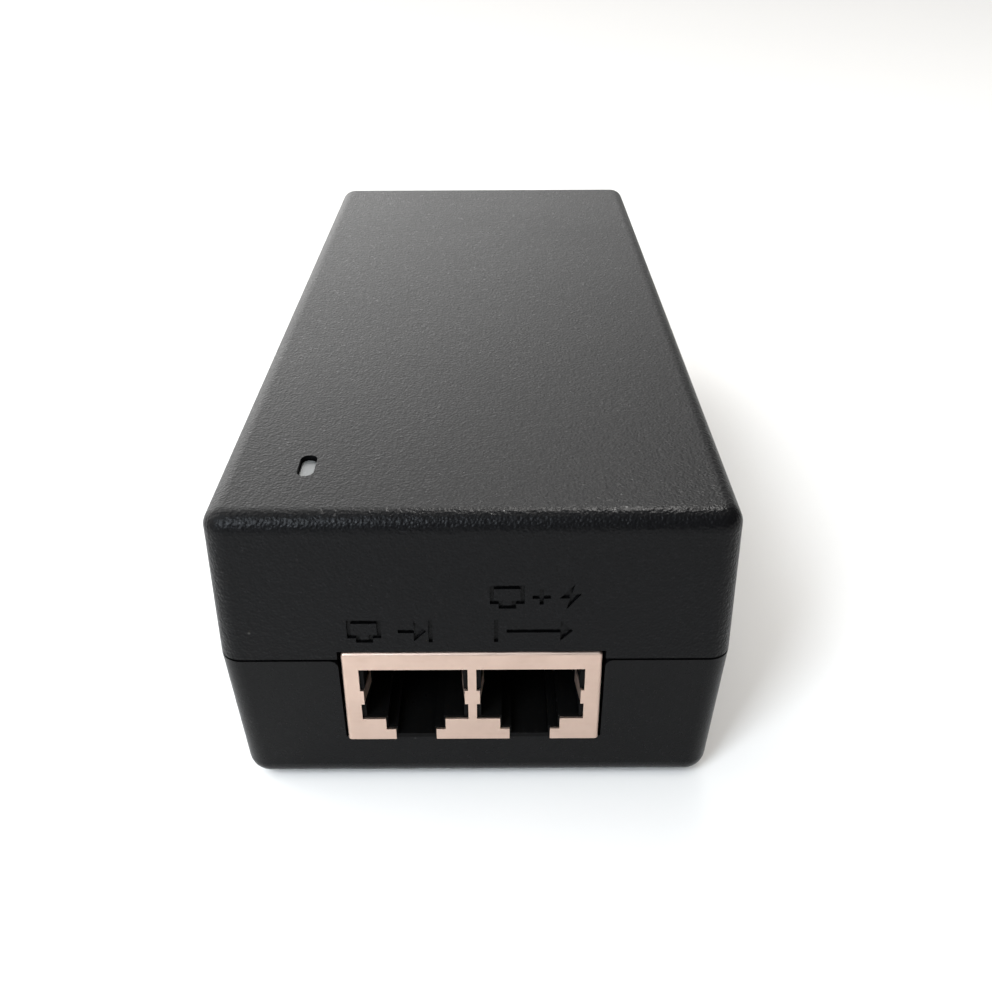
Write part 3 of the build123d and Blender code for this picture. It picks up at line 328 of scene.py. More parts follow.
def build_edge_group():
    """A mask of edges for painted edge highlights, and the same broken up by noise for worn ones.
    """
    group, given, wanted = new_group(
        "Edge wear and highlight",
        [("Vector", "Vector", None), ("Radius", "Float", 0.0006), ("Cells", "Float", 900.0)],
        [("Edge", "Float"), ("Worn", "Float")],
    )
    flat = group.nodes.new("ShaderNodeNewGeometry").outputs["Normal"]
    rounded = put(group, "ShaderNodeBevel", {"samples": 4}, Radius=given["Radius"])
    agree = put(group, "ShaderNodeVectorMath", {"operation": "DOT_PRODUCT"})
    group.links.new(flat, agree.inputs[0])
    group.links.new(rounded.outputs["Normal"], agree.inputs[1])
    # The two normals agree on a flat face and part at an edge.
    edge = remap(group, agree.outputs["Value"], 0.998, 0.86)
    broken = remap(group, noise(group, given["Vector"], given["Cells"]), 0.45, 0.62)
    group.links.new(edge, wanted["Edge"])
    group.links.new(sums(group, "MULTIPLY", edge, broken), wanted["Worn"])


def build_rolled_group():
    """Rolled or drawn metal: fine streaks along one direction, with slight tarnish clouds."""
    group, given, wanted = new_group(
        "Rolled metal",
        [("Vector", "Vector", None), ("Streaks", "Float", 3000.0)],
        [("Height", "Float"), ("Streak", "Float"), ("Tarnish", "Float")],
    )
    along_the_roll = (0.06, 1.0, 1.0)
    tarnish_cells, pit_cells, pit_weight = 240.0, 2600.0, 0.5
    stretched = put(group, "ShaderNodeMapping", Vector=given["Vector"], Scale=along_the_roll)
    streak = noise(group, stretched.outputs[0], given["Streaks"], detail=2.0)
    cloud = noise(group, given["Vector"], tarnish_cells, detail=4.0, roughness=0.6)
    tarnish = remap(group, cloud, 0.4, 0.75)
    pits = noise(group, given["Vector"], pit_cells, detail=2.0)
    height = sums(group, "ADD", streak, sums(group, "MULTIPLY", pits, pit_weight))
    group.links.new(height, wanted["Height"])
    group.links.new(remap(group, streak, 0.35, 0.65), wanted["Streak"])
    group.links.new(tarnish, wanted["Tarnish"])


# ---------------------------------------------------------------- finishes
DUST_COLOUR = (0.33, 0.32, 0.30, 1)


def new_material(name, colour):
    """A material with only its shader; returns it, its tree, the shader and the place."""
    material = bpy.data.materials.new(name)
    material.use_nodes = True
    material.diffuse_color = tuple(colour[:3]) + (1,)
    tree = material.node_tree
    return material, tree, tree.nodes["Principled BSDF"], object_place(tree)


def shade(colour, factor):
    """A colour made darker or lighter."""
    return tuple(min(1.0, part * factor) for part in colour[:3]) + (1.0,)


def bumped(tree, shader, height, depth):
    """A bump of that real depth into the shader."""
    bump = put(tree, "ShaderNodeBump", Height=height, Distance=depth, Strength=1.0)
    tree.links.new(bump.outputs[0], shader.inputs["Normal"])


def moulded_plastic(name, colour, cells=2400.0, depth=30 * MICRON, roughness=0.42, dust=0.3,
                    wear=0.35, specular=0.5):
    """Injection-moulded plastic: grain with painted glints, cloudy gloss, worn edges, dust and
    painted shade in nooks.
    """
    painted_glint_share, film_share = 0.5, 0.005
    glint_gloss, cloud_gloss, film_gloss = 0.55, 0.012, 0.08
    material, tree, shader, place = new_material(name, colour)
    grain = use(tree, "Moulded grain", Vector=place, Cells=cells)
    edge = use(tree, "Edge wear and highlight", Vector=place)
    settled = use(tree, "Settled dust", Vector=place, Amount=dust)
    base = blend_colour(tree, grain["Cloud"], shade(colour, 0.8), shade(colour, 1.25))
    # Painted glints: the grain's specks are lightened in the colour itself, standing in for light
    # sparkling off the grain.
    painted_glints = sums(tree, "MULTIPLY", grain["Glint"], painted_glint_share)
    base = blend_colour(tree, painted_glints, base, shade(colour, 2.6))
    base = blend_colour(tree, sums(tree, "MULTIPLY", edge["Worn"], wear), base, shade(colour, 4.0))
    film = sums(tree, "MULTIPLY", settled["Film"], film_share)
    base = blend_colour(tree, sums(tree, "ADD", settled["Specks"], film), base, DUST_COLOUR)
    # Painted shade: the colour darkens in nooks, creases and engraved strokes, where the ambient
    # occlusion within 0.6 mm finds them.
    painted_nook_shade = put(tree, "ShaderNodeAmbientOcclusion", {"samples": 4}, Distance=0.6 * MM).outputs["AO"]
    base = blend_colour(tree, remap(tree, painted_nook_shade, 0.9, 0.4), base, shade(colour, 0.2))
    tree.links.new(base, shader.inputs["Base Color"])
    gloss = remap(tree, grain["Glint"], 0.0, 1.0, roughness, roughness * glint_gloss)
    uneven = remap(tree, grain["Cloud"], 0.3, 0.7, -cloud_gloss, cloud_gloss)
    gloss = sums(tree, "ADD", gloss, uneven)
    gloss = sums(tree, "ADD", gloss, sums(tree, "MULTIPLY", settled["Film"], film_gloss))
    tree.links.new(gloss, shader.inputs["Roughness"])
    shader.inputs["Specular IOR Level"].default_value = specular
    bumped(tree, shader, grain["Height"], depth)
    return material


def plated_metal(name, colour, roughness=0.3, streaks=3000.0, tarnish=0.25, depth=4 * MICRON,
                 contrast=0.1):
    """Plated sheet or wire: rolling streaks, a little tarnish and a painted highlight along every
    edge.
    """
    edge_highlight_share, tarnish_gloss = 0.4, 0.15
    material, tree, shader, place = new_material(name, colour)
    rolled = use(tree, "Rolled metal", Vector=place, Streaks=streaks)
    edge = use(tree, "Edge wear and highlight", Vector=place, Radius=0.2 * MM, Cells=2500.0)
    base = blend_colour(
        tree, rolled["Streak"], shade(colour, 1 - contrast), shade(colour, 1 + contrast * 0.6)
    )
    base = blend_colour(
        tree, sums(tree, "MULTIPLY", rolled["Tarnish"], tarnish), base, shade(colour, 0.55)
    )
    # Painted highlight: every edge is lightened in the colour, standing in for edges catching the
    # light.
    painted_edge_highlight = sums(tree, "MULTIPLY", edge["Edge"], edge_highlight_share)
    base = blend_colour(tree, painted_edge_highlight, base, shade(colour, 1.3))
    tree.links.new(base, shader.inputs["Base Color"])
    shader.inputs["Metallic"].default_value = 1.0
    gloss = remap(tree, rolled["Streak"], 0.0, 1.0, roughness * 0.85, roughness * 1.2)
    gloss = sums(tree, "ADD", gloss, sums(tree, "MULTIPLY", rolled["Tarnish"], tarnish_gloss))
    tree.links.new(gloss, shader.inputs["Roughness"])
    bumped(tree, shader, rolled["Height"], depth)
    return material


def lacquered(name, colour, roughness=0.25, coat=0.5, cells=900.0, depth=20 * MICRON, mottled=0.2):
    """A dipped, lacquered or sleeved surface: soft unevenness under a clear gloss."""
    material, tree, shader, place = new_material(name, colour)
    cloud = noise(tree, place, cells / 4, detail=4.0, roughness=0.6)
    ripple = noise(tree, place, cells, detail=2.0)
    base = blend_colour(tree, cloud, shade(colour, 1 - mottled), shade(colour, 1 + mottled))
    dust, dust_colour = 0.35, (0.4, 0.39, 0.36, 1)
    settled = use(tree, "Settled dust", Vector=place, Amount=dust)
    base = blend_colour(tree, settled["Specks"], base, dust_colour)
    tree.links.new(base, shader.inputs["Base Color"])
    gloss = remap(tree, cloud, 0.3, 0.7, roughness * 0.8, roughness * 1.3)
    tree.links.new(gloss, shader.inputs["Roughness"])
    shader.inputs["Coat Weight"].default_value = coat
    shader.inputs["Coat Roughness"].default_value = 0.12
    bumped(tree, shader, ripple, depth)
    return material


def milky_pipe():
    """Light pipe: milky clear plastic that carries a little light."""
    material, tree, shader, place = new_material("Milky light pipe", (0.55, 0.57, 0.55))
    cloud_cells, ripple_cells = 700.0, 2500.0
    cloud = noise(tree, place, cloud_cells)
    base = blend_colour(tree, cloud, (0.075, 0.08, 0.08, 1), (0.11, 0.115, 0.115, 1))
    tree.links.new(base, shader.inputs["Base Color"])
    tree.links.new(remap(tree, cloud, 0.3, 0.7, 0.28, 0.4), shader.inputs["Roughness"])
    shader.inputs["Subsurface Weight"].default_value = 0.4
    shader.inputs["Subsurface Radius"].default_value = (0.6, 0.6, 0.6)
    shader.inputs["Subsurface Scale"].default_value = 2 * MM
    bumped(tree, shader, noise(tree, place, ripple_cells), 10 * MICRON)
    return material


def clear_glass():
    """The fuse's glass tube."""
    material, tree, shader, place = new_material("Fuse glass", (0.9, 0.95, 0.95))
    tint_cells, ripple_cells = 500.0, 900.0
    tint = blend_colour(
        tree, noise(tree, place, tint_cells), (0.88, 0.95, 0.93, 1), (0.95, 0.98, 0.97, 1)
    )
    tree.links.new(tint, shader.inputs["Base Color"])
    shader.inputs["Transmission Weight"].default_value = 0.9
    shader.inputs["Roughness"].default_value = 0.03
    bumped(tree, shader, noise(tree, place, ripple_cells), 3 * MICRON)
    return material


def solder_mask():
    """Circuit board: green mask over faint copper tracks, with the laminate at its edges."""
    material, tree, shader, place = new_material("Solder mask", (0.02, 0.16, 0.06))
    track_cells, island_cells, weave_cells, weave_weight = 150.0, 90.0, 900.0, 0.1
    tracks = put(
        tree, "ShaderNodeTexBrick", {"offset": 0.37, "squash": 0.6, "squash_frequency": 3},
        Vector=place, Scale=track_cells, Mortar_Size=0.16, Mortar_Smooth=0.05,
    ).outputs["Fac"]
    islands = remap(tree, noise(tree, place, island_cells, detail=1.0), 0.5, 0.53)
    copper = sums(tree, "MULTIPLY", tracks, islands)
    weave = put(
        tree, "ShaderNodeTexWave", {"wave_type": "BANDS", "bands_direction": "X"},
        Vector=place, Scale=weave_cells,
    ).outputs["Fac"]
    base = blend_colour(tree, copper, (0.012, 0.10, 0.035, 1), (0.03, 0.24, 0.08, 1))
    normal = axes_of(tree, tree.nodes.new("ShaderNodeNewGeometry").outputs["Normal"])["Z"]
    side = remap(tree, sums(tree, "ABSOLUTE", normal), 0.6, 0.3)
    fibre = blend_colour(tree, weave, (0.42, 0.36, 0.16, 1), (0.60, 0.54, 0.30, 1))
    base = blend_colour(tree, side, base, fibre)
    tree.links.new(base, shader.inputs["Base Color"])
    tree.links.new(remap(tree, side, 0.0, 1.0, 0.28, 0.8), shader.inputs["Roughness"])
    height = sums(tree, "ADD", copper, sums(tree, "MULTIPLY", weave, weave_weight))
    bumped(tree, shader, height, 30 * MICRON)
    return material


def sleeved_can(name, node, colour, stripe):
    """Electrolytic capacitor: shrink sleeve with a printed stripe and a bare aluminium top."""
    material, tree, shader, place = new_material(name, colour)
    stripe_waves = 480.0  # radians a metre
    cloud_cells, ripple_cells = 300.0, 800.0
    top = high(node).z
    parts = axes_of(tree, place)
    crown = remap(tree, parts["Z"], top - 0.4 * MM, top - 0.2 * MM)
    wave = sums(tree, "SINE", sums(tree, "MULTIPLY", parts["X"], stripe_waves))
    bands = remap(tree, wave, 0.86, 0.9)
    cloud = noise(tree, place, cloud_cells)
    sleeve = blend_colour(tree, cloud, shade(colour, 0.8), shade(colour, 1.2))
    sleeve = blend_colour(tree, bands, sleeve, stripe)
    base = blend_colour(tree, crown, sleeve, (0.75, 0.75, 0.77, 1))
    tree.links.new(base, shader.inputs["Base Color"])
    tree.links.new(crown, shader.inputs["Metallic"])
    tree.links.new(remap(tree, cloud, 0.3, 0.7, 0.22, 0.36), shader.inputs["Roughness"])
    shader.inputs["Coat Weight"].default_value = 0.3
    bumped(tree, shader, noise(tree, place, ripple_cells), 20 * MICRON)
    return material


def sintered(name, colour):
    """Pressed ferrite: matt grey with fine pores and chipped edges."""
    material, tree, shader, place = new_material(name, colour)
    pore_cells, cloud_cells, chipped = 5200.0, 350.0, 0.7
    pores = remap(tree, noise(tree, place, pore_cells, detail=2.0), 0.42, 0.36)
    cloud = noise(tree, place, cloud_cells, detail=4.0, roughness=0.6)
    edge = use(tree, "Edge wear and highlight", Vector=place, Radius=0.3 * MM, Cells=1500.0)
    base = blend_colour(tree, cloud, shade(colour, 0.8), shade(colour, 1.25))
    base = blend_colour(tree, pores, base, shade(colour, 0.35))
    chips = sums(tree, "MULTIPLY", edge["Worn"], chipped)
    base = blend_colour(tree, chips, base, shade(colour, 2.4))
    tree.links.new(base, shader.inputs["Base Color"])
    tree.links.new(remap(tree, cloud, 0.3, 0.7, 0.5, 0.68), shader.inputs["Roughness"])
    bumped(tree, shader, sums(tree, "SUBTRACT", cloud, pores), 30 * MICRON)
    return material


def printed_plate():
    """Blank rating plate: satin silver film with a plain printed frame line."""
    material, tree, shader, place = new_material("Rating film", (0.5, 0.5, 0.52))
    line_start, line_end, line_blur = 1.5 * MM, 2.1 * MM, 0.1 * MM  # inwards from the plate's rim
    grain_cells = 4000.0
    start, end = low("rating_plate"), high("rating_plate")
    parts = axes_of(tree, place)
    inside = []
    for axis, name in enumerate("XY"):
        centre, reach = (start[axis] + end[axis]) / 2, (end[axis] - start[axis]) / 2
        off_centre = sums(tree, "ABSOLUTE", sums(tree, "SUBTRACT", parts[name], centre))
        inside.append(sums(tree, "SUBTRACT", reach, off_centre))
    border = sums(tree, "MINIMUM", inside[0], inside[1])
    frame_line = sums(
        tree, "MULTIPLY", remap(tree, border, line_start, line_start + line_blur),
        remap(tree, border, line_end, line_end - line_blur),
    )
    grain = noise(tree, place, grain_cells, detail=2.0)
    base = blend_colour(tree, grain, (0.40, 0.40, 0.42, 1), (0.52, 0.52, 0.54, 1))
    base = blend_colour(tree, frame_line, base, (0.03, 0.03, 0.03, 1))
    tree.links.new(base, shader.inputs["Base Color"])
    shader.inputs["Metallic"].default_value = 0.6
    tree.links.new(remap(tree, grain, 0.3, 0.7, 0.35, 0.5), shader.inputs["Roughness"])
    bumped(tree, shader, grain, 4 * MICRON)
    return material


def dress(material, *nodes):
    """Gives CAD nodes a better material in their own slots."""
    for node in nodes:
        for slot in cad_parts[node].material_slots:
            slot.material = material


# ---------------------------------------------------------------- mesh helpers
WIRE_SIDES = 8
SHARP_ANGLE = math.radians(40)


def finish_piece(name, mesh_data, material, stands_for=()):
    """Makes the object from a bmesh, with outward faces, and rides it on the injector's body."""
    bmesh.ops.remove_doubles(mesh_data, verts=mesh_data.verts, dist=10 * MICRON)
    bmesh.ops.recalc_face_normals(mesh_data, faces=mesh_data.faces)
    mesh = bpy.data.meshes.new(name)
    mesh_data.to_mesh(mesh)
    mesh_data.free()
    mesh.shade_smooth()
    mesh.set_sharp_from_angle(angle=SHARP_ANGLE)
    piece = bpy.data.objects.new(name, mesh)
    bpy.context.scene.collection.objects.link(piece)
    mesh.materials.append(material)
    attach(piece, BODY)
    if stands_for:
        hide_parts(*stands_for)


def bevel_edges(mesh_data, edges, offset, segments):
    """Rounds or chamfers edges."""
    bmesh.ops.bevel(
        mesh_data, geom=edges, offset=offset, segments=segments, profile=0.5,
        affect="EDGES", material=-1,
    )


def add_ring(mesh_data, radius, matrix):
    """An open circle of edges, the section of a wire."""
    ring = bmesh.ops.create_circle(mesh_data, segments=WIRE_SIDES, radius=radius, matrix=matrix)
    return [edge for edge in mesh_data.edges if all(v in ring["verts"] for v in edge.verts)]


def run_straight(mesh_data, edges, way):
    """Draws the section on along a straight; returns the edges of its new end."""
    drawn = bmesh.ops.extrude_edge_only(mesh_data, edges=edges)["geom"]
    verts = [part for part in drawn if isinstance(part, bmesh.types.BMVert)]
    new_edges = [part for part in drawn if isinstance(part, bmesh.types.BMEdge)]
    bmesh.ops.translate(mesh_data, vec=way, verts=verts)
    return [edge for edge in new_edges if len(edge.link_faces) == 1]


def run_bend(mesh_data, edges, centre, axis, angle, steps):
    """Draws the section round a bend; returns the new end."""
    turned = bmesh.ops.spin(
        mesh_data, geom=edges, cent=centre, axis=axis, angle=angle, steps=steps, use_duplicate=False
    )
    return [part for part in turned["geom_last"] if isinstance(part, bmesh.types.BMEdge)]


def add_wire_loop(mesh_data, width, height, corner, radius):
    """One closed turn of round wire in the XZ plane, with rounded corners, about the origin."""
    already = set(mesh_data.verts)
    across, tall = width / 2 - corner, height / 2 - corner
    start = Matrix.Translation((-across, 0, height / 2)) @ Matrix.Rotation(QUARTER_TURN, 4, "Y")
    edges = add_ring(mesh_data, radius, start)
    legs = (
        ((2 * across, 0, 0), (across, 0, tall)),
        ((0, 0, -2 * tall), (across, 0, -tall)),
        ((-2 * across, 0, 0), (-across, 0, -tall)),
        ((0, 0, 2 * tall), (-across, 0, tall)),
    )
    for way, centre in legs:
        edges = run_straight(mesh_data, edges, way)
        edges = run_bend(mesh_data, edges, centre, (0, 1, 0), QUARTER_TURN, steps=4)
    return [vert for vert in mesh_data.verts if vert not in already]


def add_wire(mesh_data, start, end, radius):
    """A straight round wire with chamfered ends."""
    way = Vector(end) - Vector(start)
    turn = way.to_track_quat("Z", "Y").to_matrix().to_4x4()
    made = bmesh.ops.create_cone(
        mesh_data, cap_ends=True, segments=WIRE_SIDES, radius1=radius, radius2=radius,
        depth=way.length, matrix=Matrix.Translation(Vector(start) + way / 2) @ turn,
    )
    edges = {edge for vert in made["verts"] for edge in vert.link_edges}
    rims = [edge for edge in edges if any(len(face.verts) > 4 for face in edge.link_faces)]
    bevel_edges(mesh_data, rims, radius * 0.4, 1)


def add_block(mesh_data, centre, size, round_off=0.0, segments=2):
    """A box, with its edges rounded where a rounding is given."""
    made = bmesh.ops.create_cube(
        mesh_data, size=1.0,
        matrix=Matrix.Translation(centre) @ Matrix.Diagonal(Vector(size)).to_4x4(),
    )
    if round_off:
        edges = {edge for vert in made["verts"] for edge in vert.link_edges}
        bevel_edges(mesh_data, list(edges), round_off, segments)


# ---------------------------------------------------------------- operators: finishes
class INJECTOR_OT_groups(bpy.types.Operator):
    """Builds the shader groups that the finishes share"""

    bl_idname = "injector.groups"
    bl_label = "Shared shader groups"

    def execute(self, context):
        build_grain_group()
        build_dust_group()
        build_edge_group()
        build_rolled_group()
        return {"FINISHED"}


class INJECTOR_OT_case(bpy.types.Operator):
    """Finishes the covers, feet, screws, rating plate and light pipe"""

    bl_idname = "injector.case"
    bl_label = "Case"

    def execute(self, context):
        plastic = context.scene.injector_plastic
        cells = 1.0 / plastic.grain_size
        case_wear, case_specular = 0.06, 0.10
        # The lower cover's grain is finer and far shallower than the top's.
        finer, shallower, smoother = 1.5, 0.2, 0.95
        top_plastic = moulded_plastic(
            "Grained case plastic", plastic.top_colour, cells, plastic.grain_depth,
            plastic.roughness, plastic.dust, case_wear, case_specular,
        )
        dress(top_plastic, "top_cover")
        lower_plastic = moulded_plastic(
            "Lower case plastic", plastic.bottom_colour, cells * finer,
            plastic.grain_depth * shallower, plastic.roughness * smoother, plastic.dust,
            case_wear, case_specular,
        )
        dress(lower_plastic, "bottom_cover")
        rubber = moulded_plastic(
            "Foot rubber", (0.02, 0.02, 0.021), cells=3000.0, depth=20 * MICRON, roughness=0.75,
            dust=0.5, wear=0.1, specular=0.3,
        )
        dress(rubber, "rubber_feet")
        zinc = plated_metal("Zinc screw", (0.60, 0.60, 0.62), roughness=0.32, streaks=4000.0)
        dress(zinc, "case_screws")
        dress(printed_plate(), "rating_plate")
        dress(milky_pipe(), "light_pipe")
        return {"FINISHED"}


class INJECTOR_OT_jack(bpy.types.Operator):
    """Finishes the network jack's shield, housing and contacts"""

    bl_idname = "injector.jack"
    bl_label = "Network jack"

    def execute(self, context):
        metal = context.scene.injector_metal
        plating = plated_metal(
            "Jack shield plating", metal.shield_colour, roughness=0.42, streaks=2200.0,
            tarnish=0.12, depth=2 * MICRON, contrast=0.03,
        )
        dress(plating, "jack_shield")
        housing = moulded_plastic(
            "Jack housing", (0.002, 0.002, 0.002), cells=1800.0, depth=10 * MICRON, roughness=0.5,
            dust=0.05, wear=0.1, specular=0.06,
        )
        dress(housing, "jack_housing", "data_in_contact_carrier", "power_out_contact_carrier")
        gold = plated_metal(
            "Gold flash", (0.83, 0.58, 0.22), roughness=0.22, streaks=5000.0, tarnish=0.15
        )
        for port in ("data_in", "power_out"):
            dress(gold, port + "_contact_leads", port + "_contact_springs")
        return {"FINISHED"}


class INJECTOR_OT_inlet(bpy.types.Operator):
    """Finishes the mains inlet"""

    bl_idname = "injector.inlet"
    bl_label = "Mains inlet"

    def execute(self, context):
        body = moulded_plastic(
            "Inlet plastic", (0.008, 0.008, 0.008), cells=1400.0, depth=12 * MICRON, roughness=0.3,
            dust=0.3, wear=0.4,
        )
        dress(body, "ac_inlet_body")
        pins = plated_metal(
            "Nickelled pin", (0.72, 0.69, 0.64), roughness=0.26, streaks=2600.0, tarnish=0.3
        )
        dress(pins, "inlet_live_pin", "inlet_neutral_pin", "inlet_earth_pin")
        return {"FINISHED"}


class INJECTOR_OT_electronics(bpy.types.Operator):
    """Finishes the board and what stands on it"""

    bl_idname = "injector.electronics"
    bl_label = "Electronics"

    def execute(self, context):
        dress(solder_mask(), "main_board")
        dress(clear_glass(), "fuse_tube")
        self.finish_metals()
        self.finish_mouldings()
        self.finish_coatings()
        dress(
            sleeved_can(
                "Blue-black sleeve", "bulk_capacitor", (0.012, 0.016, 0.05),
                stripe=(0.5, 0.5, 0.52, 1),
            ),
            "bulk_capacitor",
        )
        dress(
            sleeved_can(
                "Brown sleeve", "output_capacitors", (0.09, 0.04, 0.02), stripe=(0.6, 0.5, 0.25, 1)
            ),
            "output_capacitors",
        )
        ferrite = sintered("Ferrite", (0.06, 0.06, 0.065))
        dress(ferrite, "transformer_core", "output_inductor_core")
        return {"FINISHED"}

    def finish_metals(self):
        """Fuse holder, screws and heatsinks."""
        tin = plated_metal("Tinned metal", (0.66, 0.66, 0.67), roughness=0.35, tarnish=0.4)
        dress(tin, "fuse_caps", "fuse_clips")
        screw = plated_metal("Inner screw", (0.62, 0.61, 0.58))
        dress(screw, "board_screws", "heatsink_screws")
        sheet = plated_metal(
            "Aluminium sheet", (0.70, 0.70, 0.72), roughness=0.42, streaks=1500.0, tarnish=0.3
        )
        dress(sheet, "primary_heatsink", "secondary_heatsink")

    def finish_mouldings(self):
        """Packages and bobbins of moulded plastic."""
        black = moulded_plastic(
            "Black moulding", (0.012, 0.012, 0.013), cells=2600.0, depth=20 * MICRON,
            roughness=0.55, dust=0.35, wear=0.5,
        )
        dress(
            black, "mains_choke_base", "transformer_bobbin", "bridge_rectifier",
            "switching_transistor", "output_rectifier", "pwm_controller", "poe_controller",
            "lan_magnetics",
        )
        white = moulded_plastic(
            "White moulding", (0.6, 0.6, 0.57), cells=2600.0, depth=20 * MICRON, roughness=0.5,
            dust=0.2, wear=0.2,
        )
        dress(white, "optocoupler")
        yellow = moulded_plastic(
            "Yellow box", (0.62, 0.40, 0.03), cells=1500.0, depth=10 * MICRON, roughness=0.4,
            wear=0.3,
        )
        dress(yellow, "x_capacitor")
        diode = moulded_plastic(
            "Diode body", (0.01, 0.01, 0.01), cells=3000.0, depth=10 * MICRON, roughness=0.4
        )
        dress(diode, "snubber_diode")

    def finish_coatings(self):
        """Dipped, coated and soft parts."""
        for name, colour, roughness, coat, nodes in (
            ("Green core coating", (0.02, 0.16, 0.06), 0.4, 0.4, ["mains_choke_core"]),
            ("Silicone pad", (0.20, 0.21, 0.25), 0.7, 0.0, ["thermal_pads"]),
            ("Resistor lacquer", (0.16, 0.34, 0.50), 0.35, 0.5, ["power_resistors"]),
            ("Lamp resin", (0.10, 0.55, 0.18), 0.2, 0.6, ["indicator_lamp"]),
        ):
            dress(lacquered(name, colour, roughness, coat), *nodes)
        film = lacquered("Insulation film", (0.10, 0.10, 0.09), 0.3, coat=0.2, cells=300.0)
        dress(film, "insulation_sheet")
        epoxy = lacquered(
            "Blue epoxy", (0.02, 0.09, 0.34), 0.3, coat=0.7, cells=1200.0, depth=60 * MICRON
        )
        dress(epoxy, "varistor", "y_capacitor")


# ---------------------------------------------------------------- operators: new pieces
class INJECTOR_OT_choke(bpy.types.Operator):
    """Winds the mains choke with turns of enamelled wire"""

    bl_idname = "injector.choke"
    bl_label = "Choke windings"

    def execute(self, context):
        metal = context.scene.injector_metal
        core_low, core_high = low("mains_choke_core"), high("mains_choke_core")
        centre = (core_low + core_high) / 2
        outer = (core_high.z - core_low.z) / 2
        thick = core_high.y - core_low.y
        hole_share = 4.6 / 8.5  # the hole's radius against the core's
        inner = outer * hole_share
        wire = metal.wire_radius
        room, corner = 2.2 * wire, 1.6 * wire
        sweep, lean = math.radians(128), math.radians(5)
        lead_out, lead_down = 0.42 * outer, 0.8 * outer
        lead_end = low("mains_choke_base").z + 5.2 * MM
        coil = bmesh.new()
        for side in (-1, 1):
            for turn in range(metal.choke_turns):
                share = turn / (metal.choke_turns - 1) - 0.5
                verts = add_wire_loop(coil, outer - inner + room, thick + room, corner, wire)
                # The loop lies in XZ; stand it across the core, lean it, then swing it round.
                angle = (0.0 if side > 0 else math.pi) + share * sweep
                place = (
                    Matrix.Translation(centre)
                    @ Matrix.Rotation(angle, 4, "Y")
                    @ Matrix.Translation(((outer + inner) / 2, 0, 0))
                    @ Matrix.Rotation(lean, 4, "X")
                    @ Matrix.Rotation(QUARTER_TURN, 4, "X")
                )
                bmesh.ops.transform(coil, matrix=place, verts=verts)
            for end in (-1, 1):
                x, y = centre.x + side * lead_out, centre.y + end * (thick / 2 + wire)
                add_wire(coil, (x, y, centre.z - lead_down), (x, y, lead_end), wire)
        copper = lacquered(
            "Enamelled copper", metal.wire_colour, 0.22, coat=0.8, cells=2500.0,
            depth=5 * MICRON, mottled=0.25,
        )
        finish_piece(
            "choke_turns", coil, copper, stands_for=("mains_choke_windings",)
        )
        return {"FINISHED"}


class INJECTOR_OT_inductor(bpy.types.Operator):
    """Winds the output inductor with a layer of round turns"""

    bl_idname = "injector.inductor"
    bl_label = "Inductor winding"

    def execute(self, context):
        turns = context.scene.injector_metal.inductor_turns
        start, end = low("output_inductor_winding"), high("output_inductor_winding")
        centre = (start + end) / 2
        wire = (end.z - start.z) / turns / 2
        reach = (end.x - start.x) / 2 - wire
        coil = bmesh.new()
        for turn in range(turns):
            z = start.z + wire + 2 * wire * turn
            place = Matrix.Translation((centre.x + reach, centre.y, z))
            edges = add_ring(coil, wire, place @ Matrix.Rotation(QUARTER_TURN, 4, "X"))
            bmesh.ops.spin(
                coil, geom=edges, cent=(centre.x, centre.y, z), axis=(0, 0, 1),
                angle=2 * math.pi, steps=32, use_merge=True,
            )
        finish_piece(
            "inductor_turns", coil, bpy.data.materials["Enamelled copper"],
            stands_for=("output_inductor_winding",),
        )
        return {"FINISHED"}


class INJECTOR_OT_transformer(bpy.types.Operator):
    """Wraps the transformer's winding in layers of tape that end in a loose tab"""

    bl_idname = "injector.transformer"
    bl_label = "Transformer winding"

    def execute(self, context):
        start, end = low("transformer_winding"), high("transformer_winding")
        centre, size = (start + end) / 2, end - start
        layers, layer_thick, layer_step, corner = 5, 0.12 * MM, 0.25 * MM, 2.2 * MM
        tape = bmesh.new()
        for layer in range(layers):
            # Each layer further in is a little narrower and stands a little higher.
            inset, lower = 2 * layer_thick * layer, layer_step * (layers - 1 - layer)
            add_block(tape, centre, (size.x - inset, size.y - inset, size.z - lower))
        upright = [
            edge for edge in tape.edges if abs(edge.verts[0].co.z - edge.verts[1].co.z) > corner
        ]
        bevel_edges(tape, upright, corner, 5)
        # The tape's loose end, a thin tab on the side that faces the ports.
        tab_width, tab_inset, tab_aside, tab_out = 7 * MM, 0.8 * MM, 1.5 * MM, 0.03 * MM
        add_block(
            tape, (centre.x + tab_aside, start.y - tab_out, centre.z),
            (tab_width, layer_thick, size.z - 2 * tab_inset), layer_thick / 4, 1,
        )
        yellow = lacquered(
            "Yellow tape", (0.70, 0.48, 0.04), 0.3, cells=700.0, depth=30 * MICRON, mottled=0.12
        )
        finish_piece(
            "transformer_tape", tape, yellow, stands_for=("transformer_winding",)
        )
        return {"FINISHED"}


